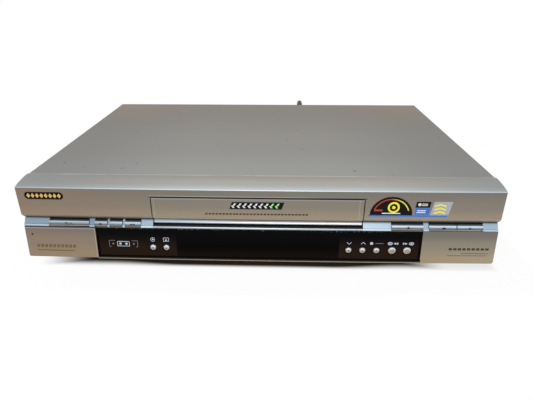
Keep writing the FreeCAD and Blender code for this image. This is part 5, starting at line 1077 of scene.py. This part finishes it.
def addWindowMarks():
    line, z, leftZ = windowMarks["line"], windowMarks["rightZ"], windowMarks["leftZ"]
    bright = [chevron(0.0834, z + 0.0008, 0.0040, 0.0006, -0.0018),
              chevron(0.0961, z - 0.0008, 0.0040, 0.0006, 0.0018),
              disc(0.1036, z, 0.0014)]
    bright += [arrow(place, z, 0.0013, angle) for place, angle in windowMarks["tapeArrows"]]
    for place in windowMarks["tapeReels"]:
        bright += [ring(place, z, 0.0021, 0.0007, 0.72), disc(place, z, 0.0006)]
    # over the two keys on the left: a reel, and a picture in its frame
    reel, picture = windowMarks["reelAt"], windowMarks["pictureAt"]
    bright += [ring(reel, leftZ, 0.0021, line), disc(reel, leftZ, 0.0008)]
    bright += box(picture, leftZ, 0.0052, 0.0038, line) + [arrow(picture, leftZ - 0.0004, 0.0013, 0)]
    # a cassette between two bent lines
    x, middle = windowMarks["cassetteAt"]
    bright += box(x, middle, *windowMarks["cassetteSize"], 0.0005)
    bright += [disc(x + side * 0.0028, middle + 0.0001, 0.0011) for side in (-1, 1)]
    printed("windowSymbols", bright, ink("window", "pale"), "display_window", layer=2)
    dim = []
    for side in (-1, 1):
        dim += [bar(x + side * 0.0104, 0.0280, 0.0056, line), bar(x + side * 0.0132, 0.0250, line, 0.0060),
                bar(x + side * 0.0123, 0.0220, 0.0018, line), arrow(x + side * 0.0096, middle, 0.0013, side * 90)]
    dim.append(bar(0.1108, z, 0.0072, 0.0005))
    dim += [bar(place, z, line, 0.0022, 0.0006) for place in (0.1225, 0.1370)]
    printed("windowLines", dim, ink("windowDim", "dim"), "display_window")


lowerMarks = {
    "flapRow": (-0.2050, 0.0038, 10),
    "rightRow": (0.1748, 0.0041, 9),
}


def addFlapMarks():
    gold = [bar(place, 0.0216, 0.0026, 0.0030, 0.0008) for place in row(*lowerMarks["flapRow"])]
    gold.append(bar(-0.1885, 0.0172, 0.0350, 0.0009))
    printed("flapStripes", gold, ink("bronze", "bronze"), "socket_flap", "socket_flap", cuts=1)
    pull = [arrow(-0.2087, 0.0328, 0.0014, -90)]
    printed("flapArrow", pull, ink("flap", "black"), "socket_flap", "socket_flap")


def addRightMarks():
    dark = [bar(place, 0.0240, 0.0030, 0.0021) for place in row(*lowerMarks["rightRow"])]
    printed("lowerStripes", dark, ink("brown", "brown"), cuts=1)
    fine = [bar(0.1968, 0.0199, 0.0250, 0.0006), bar(0.1905, 0.0177, 0.0358, 0.0006)]
    printed("lowerRules", fine, ink("softBrown", "softBrown"), cuts=2)


badge = {
    "place": (-0.1902, 0.0711),
    "reach": 0.0142,
    "tall": 0.0070,
    "lozenges": 8,
    "step": 0.0040,
    "side": 0.0030,
}


def addBadge():
    # a black bar with round ends and a row of gold lozenges
    (x, z), reach, tall = badge["place"], badge["reach"], badge["tall"]
    plate = [bar(x, z, 2 * reach, tall), disc(x - reach, z, tall / 2), disc(x + reach, z, tall / 2)]
    printed("badgePlate", plate, ink("badge", "black"), cuts=1)
    lozenges = []
    for count in range(badge["lozenges"]):
        place = x + (count - (badge["lozenges"] - 1) / 2) * badge["step"]
        middle = (place, print3d["ahead"], z)
        piece = bar(place, z, badge["side"], badge["side"])
        editing(piece)
        bpy.ops.transform.rotate(value=math.radians(45), orient_axis="Y", center_override=middle)
        bpy.ops.transform.resize(value=(0.82, 1, 1.1), center_override=middle)
        lozenges.append(edited(piece))
    printed("badgeLozenges", lozenges, ink("gold", "gold"), layer=2)


emblem = {
    "place": (-0.0014, 0.0643),
    "plate": (0.0462, 0.0068),
    "strokes": 9,
    "strokeStep": 0.0048,
    "ruleZ": 0.0561,
    "ruleStep": 0.0031,
    "ruleGroups": ((-0.0455, 9), (-0.0180, 12), (0.0190, 9)),
}


def addEmblem():
    # a slanted black bar on the door, with chevrons from white to green, over a broken rule
    x, z = emblem["place"]
    plate = [bar(x, z, *emblem["plate"], 0.0024)]
    printed("emblemPlate", plate, ink("emblem", "black"), "cassette_door", "cassette_door", cuts=2)
    strokes = []
    for count in range(emblem["strokes"]):
        place = x + (count - 4) * emblem["strokeStep"]
        strokes += [bar(place, z + side * 0.0011, 0.0017, 0.0022, side * 0.0014) for side in (1, -1)]
    shading = ink("emblemMark", "white", ("mint", 0.006, 0.015))
    printed("emblemStrokes", strokes, shading, "cassette_door", "cassette_door", layer=2)
    rule = []
    for start, ticks in emblem["ruleGroups"]:
        places = row(start, emblem["ruleStep"], ticks)
        rule += [bar(place, emblem["ruleZ"], 0.0022, 0.0015, 0.0006) for place in places]
    printed("emblemRule", rule, ink("rule", "brown"), "cassette_door", "cassette_door")


label = {
    "domeAt": (0.1178, 0.0567),
    "domeRadius": 0.0187,
    "arcRadius": 0.0160,
    "squash": 0.93,
    "arcFoot": 0.0612,
    "greyAt": (0.1600, 0.0632),
    "greySize": (0.0160, 0.0128),
}


def cutBelow(piece, x, z):
    editing(piece)
    bpy.ops.mesh.bisect(plane_co=(x, 0, z), plane_no=(0, 0, 1), clear_inner=True, use_fill=False)
    return edited(piece)


def addLabel():
    # a printed label: a black dome with a reel, two small fields beside it, and a grey one with chevrons
    (x, z), squash = label["domeAt"], label["squash"]
    dome = cutBelow(disc(x, z, label["domeRadius"], squash), x, z)
    black = [dome, bar(0.1446, 0.0668, 0.0126, 0.0056, 0.0008)]
    printed("labelBlack", black, ink("labelBlack", "black"), cuts=1)
    grey = [bar(*label["greyAt"], *label["greySize"], 0.0022)]
    printed("labelGrey", grey, ink("labelGrey", "grey"), cuts=2)
    blue = [bar(0.1443, 0.0604, 0.0126, 0.0062, 0.0008), bar(0.1325, 0.0560, 0.0690, 0.0014, 0.0003)]
    printed("labelBlue", blue, ink("labelBlue", "blue"), cuts=2)
    yellow = [ring(x + 0.0018, 0.0640, 0.0052, 0.0017), disc(x + 0.0018, 0.0640, 0.0015)]
    yellow += [chevron(label["greyAt"][0], place, 0.0100, 0.0014, 0.0016) for place in row(0.0586, 0.0034, 3)]
    printed("labelYellow", yellow, ink("labelYellow", "yellow"), layer=2)
    arc = cutBelow(ring(x, z + 0.0006, label["arcRadius"], 0.0010, squash), x, label["arcFoot"])
    glow = ink("labelArc", "red", ("yellow", x - 0.002, x + 0.010))
    printed("labelArc", [arc, bar(0.1065, label["arcFoot"], 0.0070, 0.0016)], glow, layer=2)
    white = [bar(x, 0.0584, 0.0160, 0.0010), disc(0.1418, 0.0669, 0.0014),
             bar(0.1463, 0.0675, 0.0050, 0.0007), bar(0.1463, 0.0661, 0.0050, 0.0007),
             bar(0.1441, 0.0612, 0.0078, 0.0009), bar(0.1438, 0.0594, 0.0078, 0.0009)]
    printed("labelWhite", white, ink("labelWhite", "white"), layer=2)


# The mains lead: a ribbed relief, the lead down behind the case, and a coil on the floor

relief = {
    "root": (0.0505, 0.13892, 0.060),
    "tilt": 15,
    "length": 0.026,
    "neck": 0.0047,
    "end": 0.0043,
    "ribs": 6,
    "flange": 0.0070,
    "flangeThick": 0.002,
    "segments": 28,
}


def raised(height, radius, now):
    # the chosen end moves up by height and takes another radius
    bpy.ops.mesh.extrude_region_move(TRANSFORM_OT_translate={"value": (0, 0, height)})
    bpy.ops.transform.resize(value=(radius / now, radius / now, 1))
    return radius


def addRelief():
    bpy.ops.mesh.primitive_circle_add(vertices=relief["segments"], radius=relief["neck"], fill_type="NGON")
    boot = named("reliefBoot")
    editing(boot)
    now = relief["neck"]
    step = relief["length"] / (relief["ribs"] * 2 + 1)
    for count in range(relief["ribs"]):
        share = count / (relief["ribs"] - 1)
        wide = relief["neck"] + (relief["end"] - relief["neck"]) * share
        now = raised(step * 0.8, wide, now)
        now = raised(step * 0.1, wide - 0.0007, now)
        now = raised(step * 1.0, wide - 0.0008, now)
        now = raised(step * 0.1, wide, now)
    now = raised(step * 0.8, relief["end"], now)
    raised(step * 0.2, relief["end"] - 0.0004, now)
    edited(boot)
    boot.rotation_euler = (math.radians(relief["tilt"] - 90), 0, 0)
    boot.location = relief["root"]
    settled(boot)
    x, y, z = relief["root"]
    thick = relief["flangeThick"]
    bpy.ops.mesh.primitive_cylinder_add(vertices=relief["segments"], radius=relief["flange"], depth=thick,
                                        location=(x, y + thick / 2, z), rotation=(math.pi / 2, 0, 0))
    flange = settled(named("reliefFlange"))
    modified(flange, "BEVEL", width=0.0005, segments=2, limit_method="ANGLE")
    piece = joined("reliefBoot", [boot, flange])
    bpy.ops.object.shade_smooth_by_angle(angle=math.radians(35))
    painted(piece, mouldedPlastic("reliefRubber", (0.016, 0.016, 0.017), 0.5, 0.025))
    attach(piece, "case")
    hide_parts("strain_relief")


lead = {
    "route": [
        (0.0505, 0.164034, 0.066729),
        (0.0505, 0.200739, 0.076564),
        (0.0512, 0.236020, 0.0500),
        (0.0260, 0.252220, 0.0035),
        (-0.0420, 0.252220, 0.0035),
    ],
    "diameter": 0.007,
    "length": 1.68,
    "coilEntry": (-0.049, 0.25222),
    "coilRadius": 0.050,
    "coilPitch": 0.0077,
    "layerTurns": 2.75,
    "turnPoints": 16,
    "endRun": 0.032,
}


def coilPoint(turns):
    # the coil goes in on the floor, climbs half a turn, and comes out on top of itself
    radius, pitch, layer = lead["coilRadius"], lead["coilPitch"], lead["layerTurns"]
    inner = radius - pitch * layer
    climb = turns - layer
    rise = 0.0
    if climb < 0:
        away = radius - pitch * turns
    elif climb < 0.5:
        away = inner - pitch * climb + 2 * pitch * climb ** 2
        rise = pitch * (1 - math.cos(2 * math.pi * climb)) / 2
    else:
        away = inner + pitch * (climb - 0.5)
        rise = pitch
    angle = math.pi / 2 - math.atan(pitch / (2 * math.pi * radius)) + 2 * math.pi * turns
    return away, angle, lead["diameter"] / 2 + rise


def addLead():
    away, angle, height = coilPoint(0)
    middle = Vector(lead["coilEntry"]) - Vector((math.cos(angle), math.sin(angle))) * away
    points = [Vector(point) for point in lead["route"]]
    turns = 2 * lead["layerTurns"] + 0.5
    steps = round(turns * lead["turnPoints"])
    wider = 1 / math.cos(math.pi / lead["turnPoints"])  # the spline cuts inside its points by this much
    for step in range(steps + 1):
        away, angle, height = coilPoint(turns * step / steps)
        if 0 < step < steps:
            away *= wider
        points.append(Vector((middle.x + away * math.cos(angle), middle.y + away * math.sin(angle), height)))
    heading = (points[-1] - points[-2]).normalized()
    heading.z = 0
    points.append(points[-1] + heading * lead["endRun"])
    line = bpy.data.curves.new("mainsLead", "CURVE")
    line.dimensions = "3D"
    line.bevel_depth = lead["diameter"] / 2
    line.bevel_resolution = 5
    line.resolution_u = 5
    line.use_fill_caps = True
    spline = line.splines.new("NURBS")
    spline.points.add(len(points) - 1)
    for knot, point in zip(spline.points, points):
        knot.co = (*point, 1)
    spline.order_u = 3
    spline.use_endpoint_u = True
    piece = bpy.data.objects.new("mainsLead", line)
    bpy.context.scene.collection.objects.link(piece)
    painted(piece, mouldedPlastic("leadSheath", (0.016, 0.016, 0.017), 0.42, 0.03))
    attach(piece, "case")
    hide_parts("mains_lead", "mains_lead_coil")


addCamera()
addFloor()
addLight()
print("camera, floor and light")
addRelief()
addLead()
print("strain relief and mains lead")
addButtonMarks()
addWindowMarks()
addFlapMarks()
addRightMarks()
print("symbols and stripes")
addBadge()
addEmblem()
addLabel()
print("badge, emblem and label")
paintNodes()
print("finishes on the frame's nodes")
